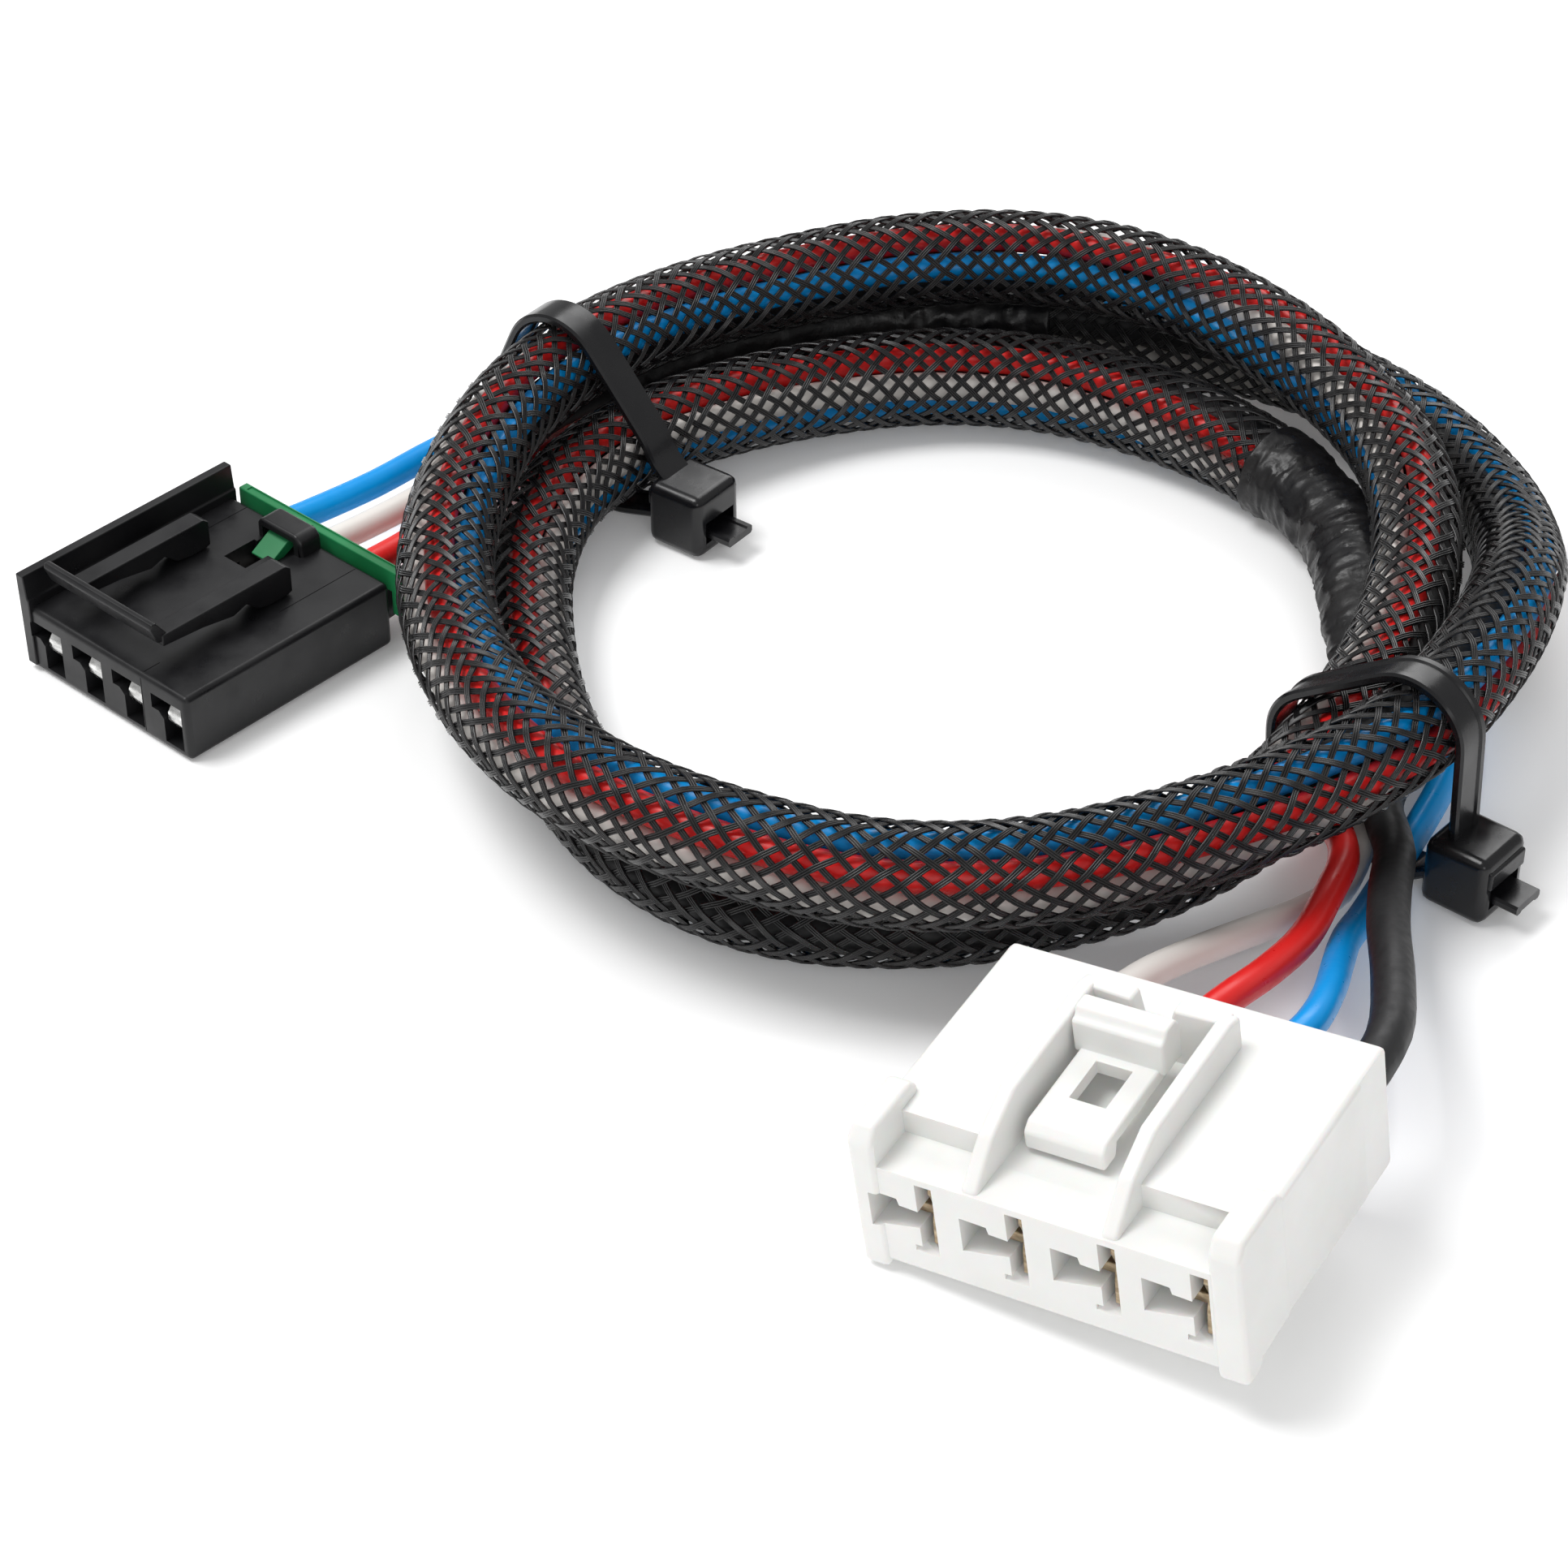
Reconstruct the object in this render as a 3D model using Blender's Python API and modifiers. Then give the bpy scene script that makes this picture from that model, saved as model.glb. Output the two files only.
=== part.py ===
"""Trailer brake wiring adapter: a coiled, sleeved four-wire harness with a four-way connector on each end.

Frame: +Z up, +X along the longest side of the coiled harness, origin on the floor under the middle of
its box. Lengths below are in millimetres and are turned into metres where the objects are made.
"""
import math

import bmesh
import bpy
from mathutils import Matrix, Vector

MM = 0.001

# The coil's centre, seen from the middle of the whole harness's box
COIL_CENTRE = (20.4, 25.85, 0.0)

# Wires: outside radius of the insulation, and where each lies in the bundle (distance, angle)
THIN_WIRE = 1.65
THICK_WIRE = 2.35
WIRES = {
    "wire_white": (THIN_WIRE, 3.05, 0.0),
    "wire_blue": (THIN_WIRE, 3.05, 76.0),
    "wire_red": (THIN_WIRE, 3.05, -76.0),
    "wire_black": (THICK_WIRE, 2.40, 180.0),
}

# The bundle's route round the coil: angle in degrees, distance from the coil's centre, height, sleeve radius
ROUTE = [
    (132, 66.6, 6.0, 5.9), (118, 67.2, 5.8, 5.9), (105, 67.6, 5.8, 5.9), (92, 67.6, 6.0, 5.9),
    (80, 67.4, 6.1, 5.9), (65, 68.2, 6.2, 5.9), (50, 70.0, 6.2, 5.8), (35, 70.2, 6.2, 5.7),
    (20, 68.2, 7.4, 5.7), (5, 65.2, 11.0, 5.7), (-10, 62.8, 16.6, 5.7), (-25, 61.7, 18.9, 5.8),
    (-40, 61.6, 19.2, 5.8), (-55, 61.4, 19.2, 5.9), (-70, 61.9, 18.6, 6.0), (-85, 63.4, 17.9, 6.0),
    (-100, 65.0, 17.9, 6.0), (-115, 65.2, 18.4, 6.0), (-130, 65.0, 18.1, 6.0), (-145, 63.8, 17.2, 5.9),
    (-160, 62.3, 16.3, 5.9), (-175, 61.3, 16.2, 5.9), (-190, 60.8, 16.9, 5.9), (-205, 61.0, 17.7, 5.9),
    (-220, 61.3, 17.6, 5.9), (-235, 61.7, 16.9, 6.0), (-250, 61.2, 17.2, 6.1), (-265, 61.2, 18.2, 6.2),
    (-280, 61.3, 18.8, 6.2), (-295, 60.4, 18.7, 6.1), (-310, 58.7, 17.7, 5.9), (-325, 57.2, 16.2, 5.8),
    (-340, 55.3, 15.7, 5.7), (-355, 52.8, 15.2, 5.7), (-370, 51.0, 14.2, 5.7), (-385, 50.3, 13.2, 5.7),
    (-400, 51.0, 12.0, 5.7), (-415, 52.5, 9.8, 5.7), (-430, 53.2, 7.3, 5.8), (-445, 54.7, 6.3, 5.9),
    (-460, 57.5, 6.2, 5.9), (-475, 59.5, 6.2, 5.9), (-490, 58.4, 6.2, 5.9), (-505, 55.6, 6.2, 5.9),
    (-520, 53.2, 6.3, 5.9), (-535, 52.4, 6.6, 5.9), (-550, 53.2, 7.2, 5.9), (-565, 53.8, 7.9, 5.9),
    (-580, 52.9, 8.1, 6.0), (-595, 51.7, 7.5, 6.2), (-610, 51.4, 6.8, 6.3), (-625, 51.5, 6.7, 6.4),
    (-640, 51.1, 6.7, 6.4), (-655, 50.0, 6.6, 6.3), (-670, 49.5, 6.3, 6.1), (-684, 49.4, 6.0, 5.8),
    (-692, 49.1, 5.95, 5.8), (-700, 48.7, 5.85, 5.8), (-706, 48.3, 5.75, 5.8),
]
# How the four wires turn inside the sleeve: coil angle, and the white wire's angle from straight outwards
ROLL = [(132, -46), (80, -46), (0, -40), (-90, 35), (-180, 80), (-270, 95), (-330, 140), (-360, 155),
        (-450, 160), (-600, 162), (-640, 175), (-684, 215), (-706, 215)]
SLEEVE_SPAN = (80.0, -684.0)
SLEEVE_WALL = 0.45
STATIONS = 64

# Wraps of tape on the two sleeve ends: start angle, end angle, inner radius, outer radius
TAPES = {
    "tape_wrap_black_end": (95.0, 81.8, 5.3, 5.75),
    "bundle_wrap_black_end": (130.0, 96.0, 5.25, 5.55),
    "tape_wrap_white_end": (-686.4, -697.6, 5.3, 5.75),
    "bundle_wrap_white_end": (-698.8, -705.6, 5.25, 5.55),
}

# Wire tails, from the coil outwards, as x, y, z from the coil's centre
BLACK_END_TAILS = {
    "wire_blue": [(-56.6, 42.7, 5.9), (-65.2, 36.2, 5.4), (-72.6, 29.8, 4.6), (-79.0, 25.2, 4.0)],
    "wire_white": [(-54.0, 40.7, 3.5), (-62.4, 32.4, 4.0), (-69.0, 25.4, 4.0), (-73.8, 20.9, 3.9)],
    "wire_red": [(-51.0, 38.5, 3.5), (-59.6, 29.0, 3.6), (-65.6, 20.8, 3.8), (-69.0, 16.4, 3.9)],
    "wire_black": [(-52.2, 39.4, 8.0), (-58.8, 28.6, 8.2), (-62.6, 18.6, 6.8), (-64.6, 11.6, 4.8)],
}
WHITE_END_TAILS = {
    "wire_white": [(47.0, 3.3, 2.2), (48.4, -6.8, 2.2), (47.2, -16.2, 2.8), (44.2, -24.2, 3.2),
                   (41.2, -30.3, 3.5), (41.7, -35.8, 3.2), (41.7, -41.0, 3.1), (39.0, -47.2, 2.3),
                   (34.6, -51.8, 3.0), (29.4, -57.2, 5.2), (23.8, -63.2, 7.8), (19.4, -68.0, 9.8),
                   (14.8, -72.8, 11.2)],
    "wire_red": [(44.6, 3.1, 5.4), (45.0, -6.3, 4.6), (43.4, -15.0, 4.2), (40.4, -22.6, 4.0),
                 (37.4, -29.4, 4.3), (38.0, -36.2, 3.9), (39.2, -42.0, 5.7), (39.1, -47.0, 6.1),
                 (36.9, -53.2, 6.8), (33.1, -62.6, 8.2), (28.4, -70.6, 10.4), (23.4, -77.4, 12.3)],
    "wire_black": [(50.4, 3.6, 6.0), (52.4, -7.4, 4.6), (51.4, -18.2, 4.3), (48.3, -27.0, 4.6),
                   (45.4, -33.6, 4.9), (44.4, -38.8, 6.1), (44.6, -46.8, 7.2), (43.0, -55.0, 8.8),
                   (41.6, -64.0, 10.6), (40.6, -74.8, 12.8), (38.7, -85.8, 14.8)],
    "wire_blue": [(53.6, 3.8, 1.9), (56.4, -8.0, 2.8), (55.4, -20.3, 3.4), (52.6, -29.4, 3.6),
                  (49.3, -36.7, 3.6), (47.0, -41.0, 3.3), (43.7, -47.0, 2.4), (40.8, -53.0, 3.0),
                  (38.2, -58.8, 4.6), (36.3, -66.0, 7.2), (34.2, -74.4, 10.4), (31.2, -82.2, 12.9)],
}

# Cable ties: coil angle of the plane, head side (1 outside, -1 inside), head centre distance, strands held
# as (distance, height, radius)
STRAP_WIDTH = 4.7
STRAP_THICK = 1.2
STRAP_GAP = 0.55
HEAD = (8.2, 8.4, 8.6)
SLOT = (5.4, 1.9, 5.4)
SLOT_HEIGHT = 3.0
TIES = {
    "cable_tie_1": (143.0, -1, 41.4,
                    [(61.2, 17.7, 5.95), (53.1, 8.1, 6.0), (71.4, 5.6, 1.65), (67.8, 3.3, 1.65)]),
    "cable_tie_2": (-40.5, 1, 70.4,
                    [(61.5, 19.2, 5.8), (51.0, 12.0, 5.7), (63.1, 3.4, 1.65), (47.6, 3.4, 1.65)]),
}

# Black four-way connector: width, length and height of the body, and its place on the floor
BLACK_BODY = (28.6, 31.8, 8.8)
BLACK_PLACE = (-111.1, -2.2, 0.0)
BLACK_TURN = (0.0, 0.0, -42.3)
BLACK_WAYS = (4.0, 11.2, 18.3, 25.2)
BLACK_WAY_HEIGHT = 3.9
BLACK_ORDER = ("wire_blue", "wire_white", "wire_red", "wire_black")

# White four-way connector: it leans on its front left foot
WHITE_BODY = (42.2, 32.6, 15.5)
WHITE_PLACE = (-13.7, -102.6, 0.75)
WHITE_TURN = (3.6, -6.54, -31.8)
WHITE_WAYS = (7.8, 17.8, 27.8, 37.6)
WHITE_WAY_HEIGHT = 7.4
WHITE_ORDER = ("wire_white", "wire_red", "wire_blue", "wire_black")

# Slack between neighbours, and where each wire's insulation ends inside its connector
GAP = 0.3
WIRE_END = 24.6


# ---------------------------------------------------------------- collections, materials, helpers

def clear_scene():
    for obj in list(bpy.data.objects):
        bpy.data.objects.remove(obj, do_unlink=True)


def new_collection(name):
    coll = bpy.data.collections.new(name)
    bpy.context.scene.collection.children.link(coll)
    return coll


def material(name, colour, roughness, metallic=0.0):
    mat = bpy.data.materials.get(name)
    if mat:
        return mat
    mat = bpy.data.materials.new(name)
    mat.use_nodes = True
    shader = mat.node_tree.nodes["Principled BSDF"]
    shader.inputs["Base Color"].default_value = (*colour, 1.0)
    shader.inputs["Roughness"].default_value = roughness
    shader.inputs["Metallic"].default_value = metallic
    return mat


def empty(name, place, turn=(0.0, 0.0, 0.0), parent=None):
    obj = bpy.data.objects.new(name, None)
    obj.location = Vector(place) * MM
    obj.rotation_euler = [math.radians(a) for a in turn]
    obj.parent = parent
    PARTS.objects.link(obj)
    return obj


def add(name, mesh, parent, origin=(0.0, 0.0, 0.0), mat=None):
    """A named sub-part, or a cutter when it has no material."""
    obj = bpy.data.objects.new(name, mesh)
    obj.location = Vector(origin) * MM
    obj.parent = parent
    if mat:
        mesh.materials.clear()
        mesh.materials.append(mat)
        PARTS.objects.link(obj)
    else:
        obj.hide_render = True
        obj.display_type = "WIRE"
        CUTTERS.objects.link(obj)
    return obj


def box_mesh(name, boxes, origin=(0.0, 0.0, 0.0)):
    """Separate boxes in one mesh, each given as x0, x1, y0, y1, z0, z1."""
    bm = bmesh.new()
    for x0, x1, y0, y1, z0, z1 in boxes:
        middle = Vector(((x0 + x1) / 2, (y0 + y1) / 2, (z0 + z1) / 2)) - Vector(origin)
        size = Matrix.Diagonal((x1 - x0, y1 - y0, z1 - z0, 1.0))
        bmesh.ops.create_cube(bm, size=1.0, matrix=Matrix.Translation(middle) @ size)
    bmesh.ops.scale(bm, vec=(MM, MM, MM), verts=bm.verts)
    mesh = bpy.data.meshes.new(name)
    bm.to_mesh(mesh)
    bm.free()
    return mesh


def rod_mesh(name, rods, sides=16, origin=(0.0, 0.0, 0.0)):
    """Separate cylinders along Y in one mesh, each given as x, z, radius, y0, y1."""
    bm = bmesh.new()
    for x, z, radius, y0, y1 in rods:
        middle = Vector((x, (y0 + y1) / 2, z)) - Vector(origin)
        place = Matrix.Translation(middle) @ Matrix.Rotation(math.radians(90.0), 4, "X")
        bmesh.ops.create_cone(bm, cap_ends=True, segments=sides, radius1=radius, radius2=radius,
                              depth=y1 - y0, matrix=place)
    bmesh.ops.scale(bm, vec=(MM, MM, MM), verts=bm.verts)
    mesh = bpy.data.meshes.new(name)
    bm.to_mesh(mesh)
    bm.free()
    return mesh


def boolean(target, operation, mesh, origin=(0.0, 0.0, 0.0)):
    other = add(target.name + "_" + mesh.name, mesh, target.parent, origin)
    step = target.modifiers.new(mesh.name, "BOOLEAN")
    step.operation = operation
    step.object = other
    return other


def bevel(obj, width, segments=2):
    step = obj.modifiers.new("rounded edges", "BEVEL")
    step.width = width * MM
    step.segments = segments
    step.limit_method = "ANGLE"
    step.angle_limit = math.radians(40.0)


# ---------------------------------------------------------------- the bundle's route

def smooth(keys, t):
    """Catmull-Rom value at t, where whole numbers are the keys."""
    i = min(max(int(t), 0), len(keys) - 2)
    f = t - i
    p1, p2 = Vector(keys[i]), Vector(keys[i + 1])
    p0 = Vector(keys[i - 1]) if i > 0 else 2 * p1 - p2
    p3 = Vector(keys[i + 2]) if i + 2 < len(keys) else 2 * p2 - p1
    return 0.5 * (2 * p1 + (p2 - p0) * f + (2 * p0 - 5 * p1 + 4 * p2 - p3) * f * f
                  + (3 * p1 - p0 - 3 * p2 + p3) * f ** 3)


def route_at(angle):
    """Point, sleeve radius and coil angle on the bundle's centre line."""
    for i in range(len(ROUTE) - 1):
        a0, a1 = ROUTE[i][0], ROUTE[i + 1][0]
        if a1 <= angle <= a0:
            break
    value = smooth(ROUTE, i + (a0 - angle) / (a0 - a1))
    turn = math.radians(angle)
    return Vector((value[1] * math.cos(turn), value[1] * math.sin(turn), value[2])), value[3]


def roll_at(angle):
    for (a0, r0), (a1, r1) in zip(ROLL, ROLL[1:]):
        if a1 <= angle <= a0:
            f = (a0 - angle) / (a0 - a1)
            return r0 + (r1 - r0) * (3 * f * f - 2 * f ** 3)
    return ROLL[-1][1]


def frame_at(angle):
    """Outward and upward directions square to the bundle."""
    before, _ = route_at(min(angle + 0.5, ROUTE[0][0]))
    after, _ = route_at(max(angle - 0.5, ROUTE[-1][0]))
    ahead = (after - before).normalized()
    turn = math.radians(angle)
    outward = Vector((math.cos(turn), math.sin(turn), 0.0))
    outward = (outward - ahead * outward.dot(ahead)).normalized()
    upward = outward.cross(ahead).normalized()
    if upward.z < 0:
        upward = -upward
    return outward, upward


def stations(first, last, count):
    """Evenly spaced coil angles."""
    return [first + (last - first) * i / (count - 1) for i in range(count)]


def wire_in_bundle(name, angle):
    radius, distance, lie = WIRES[name]
    centre, _ = route_at(angle)
    outward, upward = frame_at(angle)
    turn = math.radians(lie + roll_at(angle))
    return centre + distance * (outward * math.cos(turn) + upward * math.sin(turn))


# ---------------------------------------------------------------- tubes

def curve_object(name, points, radii, sides_each_quarter, capped, mat):
    data = bpy.data.curves.new(name, "CURVE")
    data.dimensions = "3D"
    data.twist_mode = "Z_UP"
    data.bevel_depth = MM
    data.bevel_resolution = sides_each_quarter
    data.use_fill_caps = capped
    spline = data.splines.new("POLY")
    spline.points.add(len(points) - 1)
    for dot, place, radius in zip(spline.points, points, radii):
        dot.co = (*(place * MM), 1.0)
        dot.radius = radius
    obj = bpy.data.objects.new(name, data)
    obj.parent = COIL
    if mat:
        data.materials.append(mat)
    PARTS.objects.link(obj)
    return obj


def shell_tube(name, points, radii, wall, mat):
    """An open-ended tube whose wall is wall thick, inwards from radii."""
    guide = curve_object(name + "_guide", points, radii, 4, False, None)
    bpy.context.view_layer.update()
    mesh = bpy.data.meshes.new_from_object(guide.evaluated_get(bpy.context.evaluated_depsgraph_get()))
    bpy.data.objects.remove(guide, do_unlink=True)
    bm = bmesh.new()
    bm.from_mesh(mesh)
    bmesh.ops.remove_doubles(bm, verts=bm.verts, dist=0.00001)
    bmesh.ops.recalc_face_normals(bm, faces=bm.faces)
    bm.to_mesh(mesh)
    bm.free()
    mesh.shade_smooth()
    obj = add(name, mesh, COIL, mat=mat)
    step = obj.modifiers.new("wall", "SOLIDIFY")
    step.thickness = wall * MM
    step.offset = -1.0
    return obj


def braided_sleeve():
    angles = stations(*SLEEVE_SPAN, STATIONS)
    spots = [route_at(a) for a in angles]
    mat = material("braided polyester", (0.018, 0.018, 0.02), 0.45)
    shell_tube("braided_sleeve", [p for p, _ in spots], [r for _, r in spots], SLEEVE_WALL, mat)


def tape_wraps():
    mat = material("black tape", (0.012, 0.012, 0.012), 0.35)
    for name, (first, last, inner, outer) in TAPES.items():
        count = max(4, round(abs(first - last) / 5.0) + 1)
        points = [route_at(a)[0] for a in stations(first, last, count)]
        shell_tube(name, points, [outer] * count, outer - inner, mat)


def tail_points(tail, before, steps):
    """Smooth points through a wire's tail, carried on from the bundle."""
    keys = [tuple(before)] + [tuple(p) for p in tail]
    count = (len(keys) - 1) * steps
    return [smooth(keys, i / steps) for i in range(1, count + 1)]


def in_connector(place, turn, spot):
    frame = Matrix.Translation(Vector(place)) @ (
        Matrix.Rotation(math.radians(turn[2]), 4, "Z") @ Matrix.Rotation(math.radians(turn[1]), 4, "Y")
        @ Matrix.Rotation(math.radians(turn[0]), 4, "X"))
    return frame @ Vector(spot)


def wire(name, colour):
    radius = WIRES[name][0]
    black_x = BLACK_WAYS[BLACK_ORDER.index(name)]
    white_x = WHITE_WAYS[WHITE_ORDER.index(name)]
    black_exit = [in_connector(BLACK_PLACE, BLACK_TURN, (black_x, y, BLACK_WAY_HEIGHT))
                  for y in (BLACK_BODY[1] + 2.4, WIRE_END)]
    white_exit = [in_connector(WHITE_PLACE, WHITE_TURN, (white_x, y, WHITE_WAY_HEIGHT))
                  for y in (WHITE_BODY[1] + 0.6, WIRE_END)]
    inside = [wire_in_bundle(name, a) for a in stations(*SLEEVE_SPAN, STATIONS)]
    lead_in = [wire_in_bundle(name, a) for a in stations(131.0, 87.0, 7)]
    lead_out = [wire_in_bundle(name, a) for a in stations(-690.0, -706.0, 4)]
    start = tail_points(BLACK_END_TAILS[name] + black_exit, lead_in[0], 1)
    end = tail_points(WHITE_END_TAILS[name] + white_exit, lead_out[-1], 1)
    points = start[::-1] + lead_in + inside + lead_out + end
    curve_object(name, points, [radius] * len(points), 2, True, material(name, colour, 0.4))


# ---------------------------------------------------------------- cable ties

def strap_path(side, head_distance, held):
    """The strap's centre line in the plane of the tie: x away from the coil's centre on the head's side."""
    reach = STRAP_GAP + STRAP_THICK / 2
    rings = [(side * distance, height, radius + reach) for distance, height, radius in held]
    path = [(side * head_distance - 1.6, HEAD[2] - 1.2)]
    for step in range(10, 291, 10):
        turn = math.radians(step)
        x, z, radius = max(rings, key=lambda r: r[0] * math.cos(turn) + r[1] * math.sin(turn) + r[2])
        path.append((x + radius * math.cos(turn), max(z + radius * math.sin(turn), STRAP_THICK / 2 + 0.02)))
    path.append((side * head_distance - HEAD[0] / 2 + 0.4, SLOT_HEIGHT))
    path.append((side * head_distance + HEAD[0] / 2 + 3.4, SLOT_HEIGHT))
    return path


def cable_tie(name, angle, side, head_distance, held):
    frame = empty(name + "_frame", (0.0, 0.0, 0.0), (0.0, 0.0, angle), COIL)
    path = strap_path(side, head_distance, held)
    bm = bmesh.new()
    dots = [bm.verts.new((side * x * MM, -STRAP_WIDTH / 2 * MM, z * MM)) for x, z in path]
    edges = [bm.edges.new(pair) for pair in zip(dots, dots[1:])]
    made = bmesh.ops.extrude_edge_only(bm, edges=edges)["geom"]
    bmesh.ops.translate(bm, vec=(0.0, STRAP_WIDTH * MM, 0.0),
                        verts=[v for v in made if isinstance(v, bmesh.types.BMVert)])
    bmesh.ops.recalc_face_normals(bm, faces=bm.faces)
    strip = bpy.data.meshes.new("strap")
    bm.to_mesh(strip)
    bm.free()
    width, depth, height = HEAD
    near, far = head_distance - width / 2, head_distance + width / 2
    nylon = material("tie nylon", (0.015, 0.015, 0.016), 0.4)
    head = add(name, box_mesh("head", [(near, far, -depth / 2, depth / 2, 0.0, height)]), frame, mat=nylon)
    bevel(head, 0.9, 2)
    slot = box_mesh("slot", [(near - 4.0, far + 4.0, -SLOT[0] / 2, SLOT[0] / 2, SLOT[1], SLOT[2])])
    boolean(head, "DIFFERENCE", slot)
    strap = boolean(head, "UNION", strip)
    thick = strap.modifiers.new("thickness", "SOLIDIFY")
    thick.thickness = STRAP_THICK * MM
    thick.offset = 0.0
    thick.use_even_offset = True


# ---------------------------------------------------------------- black connector

def black_connector():
    frame = empty("black_connector_frame", BLACK_PLACE, BLACK_TURN, COIL)
    width, length, height = BLACK_BODY
    plastic = material("black nylon", (0.016, 0.016, 0.017), 0.38)
    body = add("black_housing", box_mesh("body", [(0, width, 0, length, 0, height)]), frame, mat=plastic)
    bevel(body, 0.7)
    boolean(body, "UNION", box_mesh("guard wall", [(-0.3, 1.3, -0.4, length + 0.5, 0.6, 13.1)]))
    boolean(body, "UNION", box_mesh("bridge", [(9.6, 17.2, 28.4, 31.6, 8.2, 11.4)]))
    boolean(body, "DIFFERENCE", box_mesh("bridge tunnel", [(11.0, 15.8, 22.6, 33.0, 7.6, 10.3)]))
    ways = [(x - 2.3, x + 2.3, -1.0, WIRE_END + 0.4, 1.1, 6.7) for x in BLACK_WAYS]
    boolean(body, "DIFFERENCE", box_mesh("ways", ways))
    bores = [(x, BLACK_WAY_HEIGHT, 2.75 if x == BLACK_WAYS[-1] else 2.1, WIRE_END, length + 2.0)
             for x in BLACK_WAYS]
    boolean(body, "DIFFERENCE", rod_mesh("bores", bores))

    hinge = (13.0, 20.8, 9.5)
    latch = add("black_latch", box_mesh("left arm", [(4.8, 7.4, 2.6, 22.9, 10.9, 13.1)], hinge), frame,
                hinge, plastic)
    boolean(latch, "UNION", box_mesh("right arm", [(19.2, 21.8, 2.6, 22.9, 10.9, 13.1)], hinge), hinge)
    boolean(latch, "UNION", box_mesh("roots", [(4.8, 7.4, 18.7, 22.9, 9.15, 12.0),
                                               (19.2, 21.8, 18.7, 22.9, 9.15, 12.0)], hinge), hinge)
    boolean(latch, "UNION", box_mesh("front bar", [(2.8, 21.8, 1.5, 3.5, 12.0, 15.0)], hinge), hinge)

    front, rear = length + 0.5 + GAP, length + 2.3
    green = material("green lock", (0.01, 0.19, 0.07), 0.42)
    lock = add("green_lock", box_mesh("bar", [(1.6, 29.2, front, rear, 6.9, 10.0)]), frame, mat=green)
    boolean(lock, "UNION", box_mesh("tongue", [(11.6, 15.2, 25.6, length + 1.4, 8.2, 9.8)]))
    boolean(lock, "UNION", box_mesh("leg", [(27.9, 29.2, front, rear, 3.4, 8.0)]))

    metal = material("tin plate", (0.72, 0.72, 0.70), 0.28, 1.0)
    for number, x in enumerate(BLACK_WAYS, 1):
        z = BLACK_WAY_HEIGHT
        terminal = add("black_terminal_%d" % number, rod_mesh("roll", [(x + 0.3, z, 1.6, 1.2, 13.0)]), frame,
                       mat=metal)
        boolean(terminal, "DIFFERENCE", rod_mesh("mouth", [(x + 0.3, z, 1.1, 0.2, 11.6)]))
        boolean(terminal, "UNION", box_mesh("neck", [(x - 0.9, x + 0.9, 12.4, 18.4, z - 1.1, z - 0.2)]))
        boolean(terminal, "UNION", rod_mesh("crimp", [(x, z, 1.5, 17.6, WIRE_END - GAP)]))


# ---------------------------------------------------------------- white connector

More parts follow.
